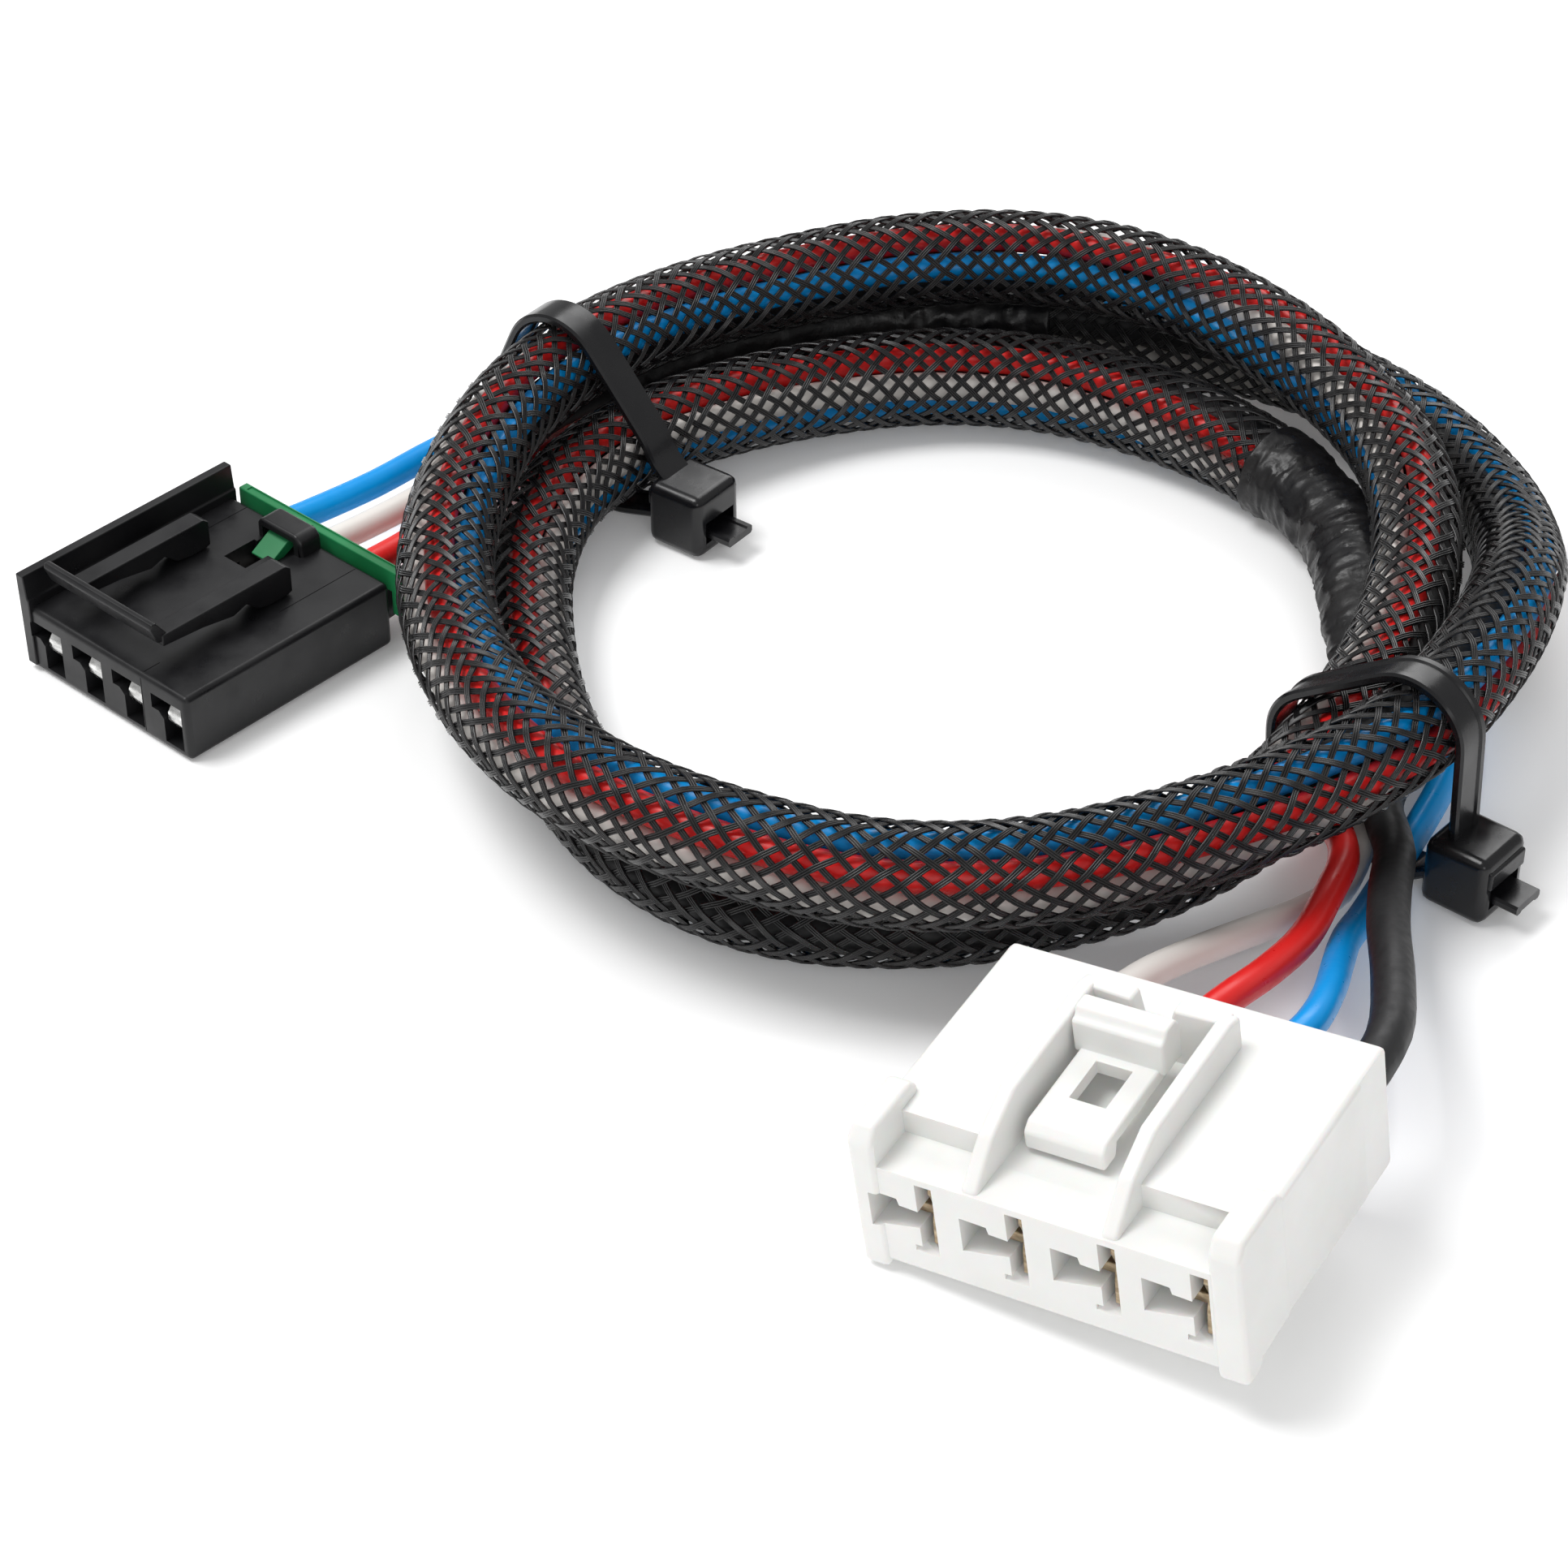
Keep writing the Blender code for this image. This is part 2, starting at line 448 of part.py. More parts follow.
def white_connector():
    frame = empty("white_connector_frame", WHITE_PLACE, WHITE_TURN, COIL)
    width, length, height = WHITE_BODY
    plastic = material("white nylon", (0.80, 0.80, 0.77), 0.42)
    block = box_mesh("body", [(0.5, width - 0.3, 0, length, 0, height)])
    body = add("white_housing", block, frame, mat=plastic)
    bevel(body, 0.9)
    boolean(body, "DIFFERENCE", box_mesh("front step", [(2.8, 39.1, -2.0, 5.4, 12.8, 20.0)]))
    boolean(body, "DIFFERENCE", box_mesh("latch bay", [(13.8, 27.2, 5.0, 25.4, 12.8, 20.0)]))
    boolean(body, "UNION", box_mesh("guard walls", [(12.0, 13.8, 0.6, 27.2, 11.0, 19.4),
                                                    (27.2, 29.0, 0.6, 27.2, 11.0, 19.4)]))
    boolean(body, "UNION", box_mesh("rear walls", [(13.0, 18.8, 25.4, 27.2, 11.0, 19.4),
                                                   (21.6, 28.0, 25.4, 27.2, 11.0, 19.4)]))
    slope = box_mesh("guard slopes", [(9.0, 32.0, -6.0, 8.0, 0.0, 8.0)], (20.0, 0.6, 0.0))
    ramp = boolean(body, "DIFFERENCE", slope, (20.0, 0.6, 13.6))
    ramp.rotation_euler = (math.radians(38.0), 0.0, 0.0)
    boolean(body, "UNION", box_mesh("corner ribs", [(-0.1, 2.8, -0.4, 9.0, 2.0, 17.2),
                                                    (39.1, 42.2, -0.4, 9.0, 2.0, 17.2)]))
    boolean(body, "UNION", box_mesh("corner feet", [(0.3, 2.8, -0.4, 2.6, -0.7, 3.0),
                                                    (39.3, 41.9, -0.4, 2.6, -0.7, 3.0)]))
    upright = [(x - 0.9, x + 1.0, -1.0, WIRE_END + 0.4, 3.6, 11.9) for x in WHITE_WAYS]
    level = [(x - 6.2, x - 0.5, -1.0, WIRE_END + 0.4, 5.6, 9.2) for x in WHITE_WAYS]
    boolean(body, "DIFFERENCE", box_mesh("upright slots", upright))
    boolean(body, "DIFFERENCE", box_mesh("level slots", level))
    bores = [(x, WHITE_WAY_HEIGHT, 2.75 if x == WHITE_WAYS[-1] else 2.1, 15.0, length + 2.0)
             for x in WHITE_WAYS]
    boolean(body, "DIFFERENCE", rod_mesh("bores", bores))

    hinge = (19.4, 9.0, 13.6)
    latch = add("white_latch", box_mesh("lever", [(15.0, 23.8, 7.8, 22.6, 14.7, 16.5)], hinge), frame,
                hinge, plastic)
    boolean(latch, "UNION", box_mesh("root", [(15.0, 23.8, 7.8, 10.4, 13.1, 15.6)], hinge), hinge)
    boolean(latch, "UNION", box_mesh("thumb tab", [(14.3, 24.5, 19.4, 23.3, 15.8, 20.9)], hinge), hinge)
    boolean(latch, "DIFFERENCE", box_mesh("window", [(17.5, 21.3, 12.8, 18.4, 12.0, 18.0)], hinge), hinge)

    metal = material("tin brass", (0.62, 0.56, 0.44), 0.3, 1.0)
    for number, x in enumerate(WHITE_WAYS, 1):
        z = WHITE_WAY_HEIGHT
        terminal = add("white_terminal_%d" % number,
                       box_mesh("blade", [(x - 0.5, x + 0.6, 1.6, 13.0, 4.2, 11.3)]), frame, mat=metal)
        boolean(terminal, "UNION", box_mesh("wing", [(x - 4.4, x - 0.2, 3.0, 12.0, 6.2, 7.2)]))
        boolean(terminal, "UNION", box_mesh("neck", [(x - 0.4, x + 0.4, 12.4, 18.4, z - 1.2, z + 1.2)]))
        boolean(terminal, "UNION", rod_mesh("crimp", [(x, z, 1.5, 17.6, WIRE_END - GAP)]))


clear_scene()
PARTS = new_collection("brake_wiring_adapter")
CUTTERS = new_collection("cutters")
COIL = empty("coil_centre", COIL_CENTRE)
braided_sleeve()
tape_wraps()
wire("wire_blue", (0.0, 0.27, 0.78))
wire("wire_white", (0.72, 0.69, 0.65))
wire("wire_red", (0.72, 0.02, 0.02))
wire("wire_black", (0.03, 0.03, 0.032))
black_connector()
white_connector()
for tie, values in TIES.items():
    cable_tie(tie, *values)
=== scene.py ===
# Coiled trailer brake wiring adapter: braided sleeve, four wires, two plugs and two cable ties
import math
import bmesh
import bpy
from mathutils import Euler, Matrix, Vector, noise


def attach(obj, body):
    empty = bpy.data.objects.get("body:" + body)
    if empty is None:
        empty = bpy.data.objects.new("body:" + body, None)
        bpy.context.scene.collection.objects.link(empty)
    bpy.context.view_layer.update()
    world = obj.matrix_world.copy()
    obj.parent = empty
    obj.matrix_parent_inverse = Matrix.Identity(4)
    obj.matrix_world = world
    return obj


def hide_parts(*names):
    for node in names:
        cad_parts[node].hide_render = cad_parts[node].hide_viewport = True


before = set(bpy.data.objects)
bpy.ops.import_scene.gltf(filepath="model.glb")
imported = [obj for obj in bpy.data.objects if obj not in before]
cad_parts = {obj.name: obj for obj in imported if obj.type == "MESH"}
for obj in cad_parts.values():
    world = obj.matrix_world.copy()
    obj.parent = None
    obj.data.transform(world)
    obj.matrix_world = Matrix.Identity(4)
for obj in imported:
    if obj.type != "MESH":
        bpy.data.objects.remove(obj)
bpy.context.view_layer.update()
mm = 0.001

# Camera in millimetres and degrees; its clip, the floor and the lamps in metres
studio = {
    "cameraPlace": (-1.5, -366.6, 282.7),
    "cameraTilt": 52.29,
    "lens": 93.17,
    "sensor": 36.0,
    "shift": 0.0047,
    "clip": (0.01, 20.0),
    "floorReach": 4.0,
    "floorDrop": 0.0002,
    "floorColour": (0.96, 0.96, 0.96),
    "floorRoughness": 0.9,
    "floorGlow": 0.10,
    "worldLight": 0.50,
    # name, place, size and power in watts
    "lamps": (
        ("key", (-0.50, 0.05, 1.0), 0.50, 8.0),
        ("back", (0.25, 0.85, 0.65), 0.60, 4.5),
        ("front", (0.10, -0.85, 0.50), 0.45, 1.4),
    ),
}

# The coil, from its centre: angle in degrees, distance, height and sleeve radius in millimetres
coil = {
    "centre": (20.4, 25.85, 0.0),
    "route": [
        (132, 66.6, 6.0, 5.9), (118, 67.2, 5.8, 5.9), (105, 67.6, 5.8, 5.9), (92, 67.6, 6.0, 5.9),
        (80, 67.4, 6.1, 5.9), (65, 68.2, 6.2, 5.9), (50, 70.0, 6.2, 5.8), (35, 70.2, 6.2, 5.7),
        (20, 68.2, 7.4, 5.7), (5, 65.2, 11.0, 5.7), (-10, 62.8, 16.6, 5.7), (-25, 61.7, 18.9, 5.8),
        (-40, 61.6, 19.2, 5.8), (-55, 61.4, 19.2, 5.9), (-70, 61.9, 18.6, 6.0), (-85, 63.4, 17.9, 6.0),
        (-100, 65.0, 17.9, 6.0), (-115, 65.2, 18.4, 6.0), (-130, 65.0, 18.1, 6.0), (-145, 63.8, 17.2, 5.9),
        (-160, 62.3, 16.3, 5.9), (-175, 61.3, 16.2, 5.9), (-190, 60.8, 16.9, 5.9), (-205, 61.0, 17.7, 5.9),
        (-220, 61.3, 17.6, 5.9), (-235, 61.7, 16.9, 6.0), (-250, 61.2, 17.2, 6.1), (-265, 61.2, 18.2, 6.2),
        (-280, 61.3, 18.8, 6.2), (-295, 60.4, 18.7, 6.1), (-310, 58.7, 17.7, 5.9), (-325, 57.2, 16.2, 5.8),
        (-340, 55.3, 15.7, 5.7), (-355, 52.8, 15.2, 5.7), (-370, 51.0, 14.2, 5.7), (-385, 50.3, 13.2, 5.7),
        (-400, 51.0, 12.0, 5.7), (-415, 52.5, 9.8, 5.7), (-430, 53.2, 7.3, 5.8), (-445, 54.7, 6.3, 5.9),
        (-460, 57.5, 6.2, 5.9), (-475, 59.5, 6.2, 5.9), (-490, 58.4, 6.2, 5.9), (-505, 55.6, 6.2, 5.9),
        (-520, 53.2, 6.3, 5.9), (-535, 52.4, 6.6, 5.9), (-550, 53.2, 7.2, 5.9), (-565, 53.8, 7.9, 5.9),
        (-580, 52.9, 8.1, 6.0), (-595, 51.7, 7.5, 6.2), (-610, 51.4, 6.8, 6.3), (-625, 51.5, 6.7, 6.4),
        (-640, 51.1, 6.7, 6.4), (-655, 50.0, 6.6, 6.3), (-670, 49.5, 6.3, 6.1), (-684, 49.4, 6.0, 5.8),
        (-692, 49.1, 5.95, 5.8), (-700, 48.7, 5.85, 5.8), (-706, 48.3, 5.75, 5.8),
    ],
    # coil angle, and how far the four wires have turned in the sleeve there
    "roll": [(132, -46), (80, -46), (0, -40), (-90, 35), (-180, 80), (-270, 95), (-330, 140), (-360, 155),
             (-450, 160), (-600, 162), (-640, 175), (-684, 215), (-706, 215)],
    # between these coil angles the red and the white wire have changed places
    "changedPlaces": ((122, 98), (-288, -320)),
    "sleeveFrom": 80.0,
    "sleeveTo": -684.0,
    "sleeveSamples": 420,
}

# The four wires: sizes, their lie in the sleeve, and their bare ends from the coil's centre
wires = {
    "radius": {"blue": 1.75, "white": 1.75, "red": 1.75, "black": 2.35},
    # dark and light insulation colour, and roughness
    "looks": {
        "blue": ((0.0, 0.27, 0.72), (0.0, 0.33, 0.80), 0.34),
        "white": ((0.72, 0.68, 0.64), (0.80, 0.765, 0.73), 0.38),
        "red": ((0.70, 0.012, 0.012), (0.80, 0.024, 0.022), 0.34),
        "black": ((0.011, 0.011, 0.012), (0.020, 0.020, 0.021), 0.5),
    },
    # distance from the sleeve's middle, and the angle round it
    "lie": {"white": (3.05, 0.0), "blue": (3.05, 76.0), "red": (3.05, -76.0), "black": (2.40, 180.0)},
    "changeTurn": 76.0,  # how far red and white turn as they change places
    "changeDip": 3.2,  # how strongly white draws inwards as it passes red
    "samples": 290,
    "tailSteps": 4,  # points between two places of a bare end
    "tailStarts": (6, -5),  # samples in the sleeve that set the direction of each bare end
    "blackEnd": {
        "blue": [(-56.6, 42.7, 5.9), (-65.2, 36.2, 5.4), (-72.6, 29.8, 4.6), (-79.0, 25.2, 4.0)],
        "white": [(-54.0, 40.7, 3.5), (-62.4, 32.4, 4.0), (-69.0, 25.4, 4.0), (-73.8, 20.9, 3.9)],
        "red": [(-51.0, 38.5, 3.5), (-59.6, 29.0, 3.6), (-65.6, 20.8, 3.8), (-69.0, 16.4, 3.9)],
        "black": [(-52.2, 39.4, 8.0), (-58.8, 28.6, 8.2), (-62.6, 18.6, 6.8), (-64.6, 11.6, 4.8)],
    },
    "whiteEnd": {
        "white": [(47.0, 3.3, 2.2), (48.4, -6.8, 2.2), (47.2, -16.2, 2.8), (44.2, -24.2, 3.2),
                  (41.2, -30.3, 3.5), (41.7, -35.8, 3.2), (41.7, -41.0, 3.1), (39.0, -47.2, 2.3),
                  (34.6, -51.8, 3.0), (29.4, -57.2, 5.2), (23.8, -63.2, 7.8), (19.4, -68.0, 9.8),
                  (14.8, -72.8, 11.2)],
        "red": [(44.6, 3.1, 5.4), (45.0, -6.3, 4.6), (43.4, -15.0, 4.2), (40.4, -22.6, 4.0),
                (37.4, -29.4, 4.3), (38.0, -36.2, 3.9), (39.2, -42.0, 5.7), (39.1, -47.0, 6.1),
                (36.9, -53.2, 6.8), (33.1, -62.6, 8.2), (28.4, -70.6, 10.4), (23.4, -77.4, 12.3)],
        "black": [(50.4, 3.6, 6.0), (52.4, -7.4, 4.6), (51.4, -18.2, 4.3), (48.3, -27.0, 4.6),
                  (45.4, -33.6, 4.9), (44.4, -38.8, 6.1), (44.6, -46.8, 7.2), (43.0, -55.0, 8.8),
                  (41.6, -64.0, 10.6), (40.6, -74.8, 12.8), (38.7, -85.8, 14.8)],
        "blue": [(53.6, 3.8, 1.9), (56.4, -8.0, 2.8), (55.4, -20.3, 3.4), (52.6, -29.4, 3.6),
                 (49.3, -36.7, 3.6), (47.0, -41.0, 3.3), (43.7, -47.0, 2.4), (40.8, -53.0, 3.0),
                 (38.2, -58.8, 4.6), (36.3, -66.0, 7.2), (34.2, -74.4, 10.4), (31.2, -82.2, 12.9)],
    },
    "blackPlugOrder": ("blue", "white", "red", "black"),
    "whitePlugOrder": ("white", "red", "blue", "black"),
}

# Each plug's place on the floor, its turn, its ways from left to right, and how far back a wire's
# last two places before its end are
blackPlug = {
    "place": (-111.1, -2.2, 0.0),
    "turn": (0.0, 0.0, -42.3),
    "size": (28.6, 31.8, 8.8),
    "ways": (4.0, 11.2, 18.3, 25.2),
    "wayHeight": 3.9,
    "entry": (34.2, 30.0),
}
whitePlug = {
    "place": (-13.7, -102.6, 0.75),
    "turn": (3.6, -6.54, -31.8),
    "size": (42.2, 32.6, 15.5),
    "ways": (7.8, 17.8, 27.8, 37.6),
    "wayHeight": 7.4,
    "entry": (33.2, 30.0),
}
wireEnd = 24.6  # how far behind a plug's front each wire ends


# Places in the frame

def fromCoil(spot):
    return (Vector(spot) + Vector(coil["centre"])) * mm


def plugMatrix(plug):
    turn = Euler([math.radians(a) for a in plug["turn"]], "XYZ").to_matrix().to_4x4()
    return Matrix.Translation(fromCoil(plug["place"])) @ turn @ Matrix.Scale(mm, 4)


def inPlug(plug, spot):
    return plugMatrix(plug) @ Vector(spot)


def smoothKey(keys, t):
    # a smooth curve through the keys, t counting them
    i = min(max(int(t), 0), len(keys) - 2)
    f = t - i
    p1, p2 = Vector(keys[i]), Vector(keys[i + 1])
    p0 = Vector(keys[i - 1]) if i > 0 else 2 * p1 - p2
    p3 = Vector(keys[i + 2]) if i + 2 < len(keys) else 2 * p2 - p1
    return 0.5 * (2 * p1 + (p2 - p0) * f + (2 * p0 - 5 * p1 + 4 * p2 - p3) * f * f
                  + (3 * p1 - p0 - 3 * p2 + p3) * f ** 3)


def eased(keys, angle):
    # the keys' angles run downwards, as the coil's do
    for (a0, v0), (a1, v1) in zip(keys, keys[1:]):
        if a1 <= angle <= a0:
            f = (a0 - angle) / (a0 - a1)
            return v0 + (v1 - v0) * (3 * f * f - 2 * f ** 3)
    return keys[0][1] if angle > keys[0][0] else keys[-1][1]


def routeAt(angle):
    # a point on the sleeve's middle line, and the sleeve's radius there
    route = coil["route"]
    i = 0
    while i < len(route) - 2 and angle < route[i + 1][0]:
        i += 1
    a0, a1 = route[i][0], route[i + 1][0]
    value = smoothKey(route, i + (a0 - angle) / (a0 - a1))
    turn = math.radians(angle)
    return Vector((value[1] * math.cos(turn), value[1] * math.sin(turn), value[2])), value[3]


def squareAt(angle):
    # two directions square to the sleeve: away from the coil's middle, and up
    last, first = coil["route"][-1][0], coil["route"][0][0]
    ahead = (routeAt(max(angle - 0.5, last))[0] - routeAt(min(angle + 0.5, first))[0]).normalized()
    turn = math.radians(angle)
    outward = Vector((math.cos(turn), math.sin(turn), 0.0))
    outward = (outward - ahead * outward.dot(ahead)).normalized()
    upward = outward.cross(ahead).normalized()
    return outward, upward if upward.z > 0 else -upward


def steps(first, last, count):
    return [first + (last - first) * i / (count - 1) for i in range(count)]


def changed(angle):
    (a0, a1), (b0, b1) = coil["changedPlaces"]
    return eased([(a0, 0.0), (a1, 1.0), (b0, 1.0), (b1, 0.0)], angle)


def wireInSleeve(name, angle):
    distance, lie = wires["lie"][name]
    lie += eased(coil["roll"], angle)
    share = changed(angle)
    if name == "white":
        lie -= wires["changeTurn"] * share
        distance *= 1.0 - wires["changeDip"] * share * (1.0 - share)
    if name == "red":
        lie += wires["changeTurn"] * share
    centre, _ = routeAt(angle)
    outward, upward = squareAt(angle)
    turn = math.radians(lie)
    return centre + distance * (outward * math.cos(turn) + upward * math.sin(turn))


def smoothLine(points, each):
    # each is the number of steps from one point to the next
    keys = [tuple(p) for p in points]
    return [smoothKey(keys, i / each) for i in range((len(keys) - 1) * each + 1)]


# Node trees

def node(tree, kind, **links):
    made = tree.nodes.new(kind)
    for name, value in links.items():
        link(tree, made, name, value)
    return made


def link(tree, made, name, value):
    numbered = name[0] == "_" and name[1:].isdigit()
    socket = made.inputs[int(name[1:])] if numbered else made.inputs[name.replace("_", " ")]
    if isinstance(value, bpy.types.NodeSocket):
        tree.links.new(value, socket)
    else:
        socket.default_value = value


def sums(tree, operation, first, second=0.0):
    made = tree.nodes.new("ShaderNodeMath")
    made.operation = operation
    link(tree, made, "_0", first)
    link(tree, made, "_1", second)
    return made.outputs[0]


def vectorSums(tree, operation, first, second=None, scale=None):
    made = tree.nodes.new("ShaderNodeVectorMath")
    made.operation = operation
    link(tree, made, "_0", first)
    if second is not None:
        link(tree, made, "_1", second)
    if scale is not None:
        link(tree, made, "Scale", scale)
    return made.outputs[0]


def newTree(name, inputs):
    tree = bpy.data.node_groups.new(name, "GeometryNodeTree")
    tree.interface.new_socket(name="Geometry", in_out="INPUT", socket_type="NodeSocketGeometry")
    tree.interface.new_socket(name="Geometry", in_out="OUTPUT", socket_type="NodeSocketGeometry")
    for label, kind in inputs:
        tree.interface.new_socket(name=label, in_out="INPUT", socket_type="NodeSocket" + kind)
    return tree, tree.nodes.new("NodeGroupInput"), tree.nodes.new("NodeGroupOutput")


def treeMesh(name, base, tree, values):
    # runs the tree on a base object and keeps the result as a plain mesh
    step = base.modifiers.new("tree", "NODES")
    step.node_group = tree
    for item in tree.interface.items_tree:
        if item.item_type == "SOCKET" and item.in_out == "INPUT" and item.name in values:
            step[item.identifier] = values[item.name]
    base.update_tag()
    bpy.context.view_layer.update()
    result = base.evaluated_get(bpy.context.evaluated_depsgraph_get())
    mesh = bpy.data.meshes.new_from_object(result, depsgraph=bpy.context.evaluated_depsgraph_get())
    base.modifiers.remove(step)
    mesh.name = name
    return addPiece(name, mesh)


def addPiece(name, data):
    piece = bpy.data.objects.new(name, data)
    bpy.context.scene.collection.objects.link(piece)
    return piece


# Materials

def newMaterial(name, colour, roughness, metallic=0.0, **shaderValues):
    mat = bpy.data.materials.new(name)
    mat.use_nodes = True
    shader = mat.node_tree.nodes["Principled BSDF"]
    shader.inputs["Base Color"].default_value = (*colour, 1.0)
    shader.inputs["Roughness"].default_value = roughness
    shader.inputs["Metallic"].default_value = metallic
    for label, value in shaderValues.items():
        shader.inputs[label.replace("_", " ")].default_value = value
    return mat, mat.node_tree, shader


def speckle(tree, scale, detail=3.0, stretch=None):
    # noise on the piece's own coordinates; scale is per metre
    where = tree.nodes.new("ShaderNodeTexCoord").outputs["Object"]
    if stretch:
        where = node(tree, "ShaderNodeMapping", Vector=where, Scale=stretch).outputs[0]
    return node(tree, "ShaderNodeTexNoise", Vector=where, Scale=scale, Detail=detail).outputs["Fac"]


def uneven(tree, shader, fac, low, high):
    # spreads the roughness over a range
    spread = node(tree, "ShaderNodeMapRange", Value=fac)
    spread.inputs["From Min"].default_value = 0.3
    spread.inputs["From Max"].default_value = 0.7
    spread.inputs["To Min"].default_value = low
    spread.inputs["To Max"].default_value = high
    tree.links.new(spread.outputs[0], shader.inputs["Roughness"])


def mottled(tree, shader, fac, dark, light):
    # blends the base colour from dark to light
    ramp = tree.nodes.new("ShaderNodeValToRGB")
    ramp.color_ramp.elements[0].position = 0.35
    ramp.color_ramp.elements[1].position = 0.68
    ramp.color_ramp.elements[0].color = (*dark, 1.0)
    ramp.color_ramp.elements[1].color = (*light, 1.0)
    tree.links.new(fac, ramp.inputs[0])
    tree.links.new(ramp.outputs[0], shader.inputs["Base Color"])


def bump(tree, shader, height, distance, strength, under=None):
    # distance is in metres; under is a coarser bump below this one
    made = node(tree, "ShaderNodeBump", Height=height, Distance=distance, Strength=strength)
    if under is not None:
        tree.links.new(under, made.inputs["Normal"])
    tree.links.new(made.outputs[0], shader.inputs["Normal"])
    return made.outputs[0]


def braidFibre():
    mat, tree, shader = newMaterial("braidFibre", (0.007, 0.007, 0.008), 0.3, Specular_IOR_Level=0.42)
    mottled(tree, shader, speckle(tree, 160), (0.004, 0.004, 0.005), (0.012, 0.011, 0.011))
    uneven(tree, shader, speckle(tree, 900), 0.20, 0.36)
    bump(tree, shader, speckle(tree, 5200, 2.0), 0.00002, 0.3)
    return mat


def insulation(name, dark, light, roughness):
    mat, tree, shader = newMaterial(name, light, roughness, Specular_IOR_Level=0.32)
    mottled(tree, shader, speckle(tree, 45), dark, light)
    uneven(tree, shader, speckle(tree, 700), roughness - 0.07, roughness + 0.09)
    under = bump(tree, shader, speckle(tree, 220, 2.0), 0.00010, 0.35)
    bump(tree, shader, speckle(tree, 4200, 3.0), 0.00002, 0.35, under)
    return mat


def vinylTape():
    mat, tree, shader = newMaterial("vinylTape", (0.010, 0.010, 0.010), 0.34, Specular_IOR_Level=0.34)
    mottled(tree, shader, speckle(tree, 120), (0.005, 0.005, 0.006), (0.013, 0.012, 0.012))
    uneven(tree, shader, speckle(tree, 500), 0.24, 0.48)
    under = bump(tree, shader, speckle(tree, 330, 4.0), 0.00035, 0.7)
    bump(tree, shader, speckle(tree, 3000, 3.0), 0.00003, 0.5, under)
    return mat


# Camera, from the front and above

def makeCamera():
    data = bpy.data.cameras.new("camera")
    camera = addPiece("camera", data)
    camera.location = Vector(studio["cameraPlace"]) * mm
    camera.rotation_euler = (math.radians(studio["cameraTilt"]), 0.0, 0.0)
    data.lens = studio["lens"]
    data.sensor_width = studio["sensor"]
    data.shift_y = studio["shift"]
    data.clip_start, data.clip_end = studio["clip"]
    bpy.context.scene.camera = camera


print("camera")
makeCamera()

# Route and wires

def polyCurve(name, points, radii, resolution, mat):
    # radii are in millimetres
    data = bpy.data.curves.new(name, "CURVE")
    data.dimensions = "3D"
    data.twist_mode = "Z_UP"
    data.bevel_depth = mm
    data.bevel_resolution = resolution
    data.use_fill_caps = True
    line = data.splines.new("POLY")
    line.points.add(len(points) - 1)
    for dot, place, radius in zip(line.points, points, radii):
        dot.co = (*place, 1.0)
        dot.radius = radius
    line.use_smooth = True
    if mat:
        data.materials.append(mat)
    return addPiece(name, data)


def intoPlug(plug, order, name):
    # a wire's last places, straight into its way
    u = plug["ways"][wires[order].index(name)]
    return [inPlug(plug, (u, v, plug["wayHeight"])) for v in (*plug["entry"], wireEnd)]


def wireLine(name):
    blackTail = [fromCoil(p) for p in wires["blackEnd"][name]] + intoPlug(blackPlug, "blackPlugOrder", name)
    whiteTail = [fromCoil(p) for p in wires["whiteEnd"][name]] + intoPlug(whitePlug, "whitePlugOrder", name)
    first, last = coil["route"][0][0], coil["route"][-1][0]
    inside = [fromCoil(wireInSleeve(name, a)) for a in steps(first, last, wires["samples"])]
    each = wires["tailSteps"]
    beforeBlack, beforeWhite = [inside[i] for i in wires["tailStarts"]]
    # the stretch that a bare end shares with the sleeve is dropped
    start = smoothLine([beforeBlack, inside[0]] + blackTail, each)[each + 1:]
    end = smoothLine([beforeWhite, inside[-1]] + whiteTail, each)[each + 1:]
    return start[::-1] + inside + end


print("wires")
for colour, look in wires["looks"].items():
    mat = insulation(colour + "Insulation", *look)
    line = wireLine(colour)
    radius = wires["radius"][colour]
    piece = polyCurve("wire" + colour.capitalize(), line, [radius] * len(line), 4, mat)
    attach(piece, "harness")
    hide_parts("wire_" + colour)

# Braided sleeve: fourteen yarns each way, two over and two under, three filaments in each yarn
braid = {
    "yarnsEachWay": 14,
    "turns": 18.6,
    "samples": 1000,
    "yarnWidth": 0.74,
    "yarnThickness": 0.27,
    "lift": 0.17,
    "inset": 0.42,
    "unevenness": 0.07,
    "unevenAlong": 95.0,  # how quickly a yarn's wander changes along the sleeve
    "unevenAcross": 3.7,  # and from one yarn to the next
    "seed": 4.0,
    # the filaments' places and sizes, as shares of the yarn's width and thickness
    "filaments": (-0.345, 0.0, 0.345),
    "filamentHalf": 0.15,
    "crownHalf": 0.09,
    "crown": 0.4,
    "groove": -0.25,
}


def yarnProfile():
    # three rounded filaments side by side; x points away from the sleeve's middle
    width, high = braid["yarnWidth"], braid["yarnThickness"]
    crown, groove = braid["crown"], braid["groove"]
    points = [(-0.5, -0.5)]
    for middle in braid["filaments"]:
        points.append((middle - braid["filamentHalf"], groove))
        points += [(middle - braid["crownHalf"], crown), (middle + braid["crownHalf"], crown)]
        points.append((middle + braid["filamentHalf"], groove))
    points.append((0.5, -0.5))
    data = bpy.data.curves.new("yarnProfile", "CURVE")
    data.dimensions = "3D"
    line = data.splines.new("POLY")
    line.points.add(len(points) - 1)
    for dot, (across, out) in zip(line.points, points):
        dot.co = (out * high * mm, across * width * mm, 0.0, 1.0)
    line.use_cyclic_u = True
    return addPiece("yarnProfile", data)


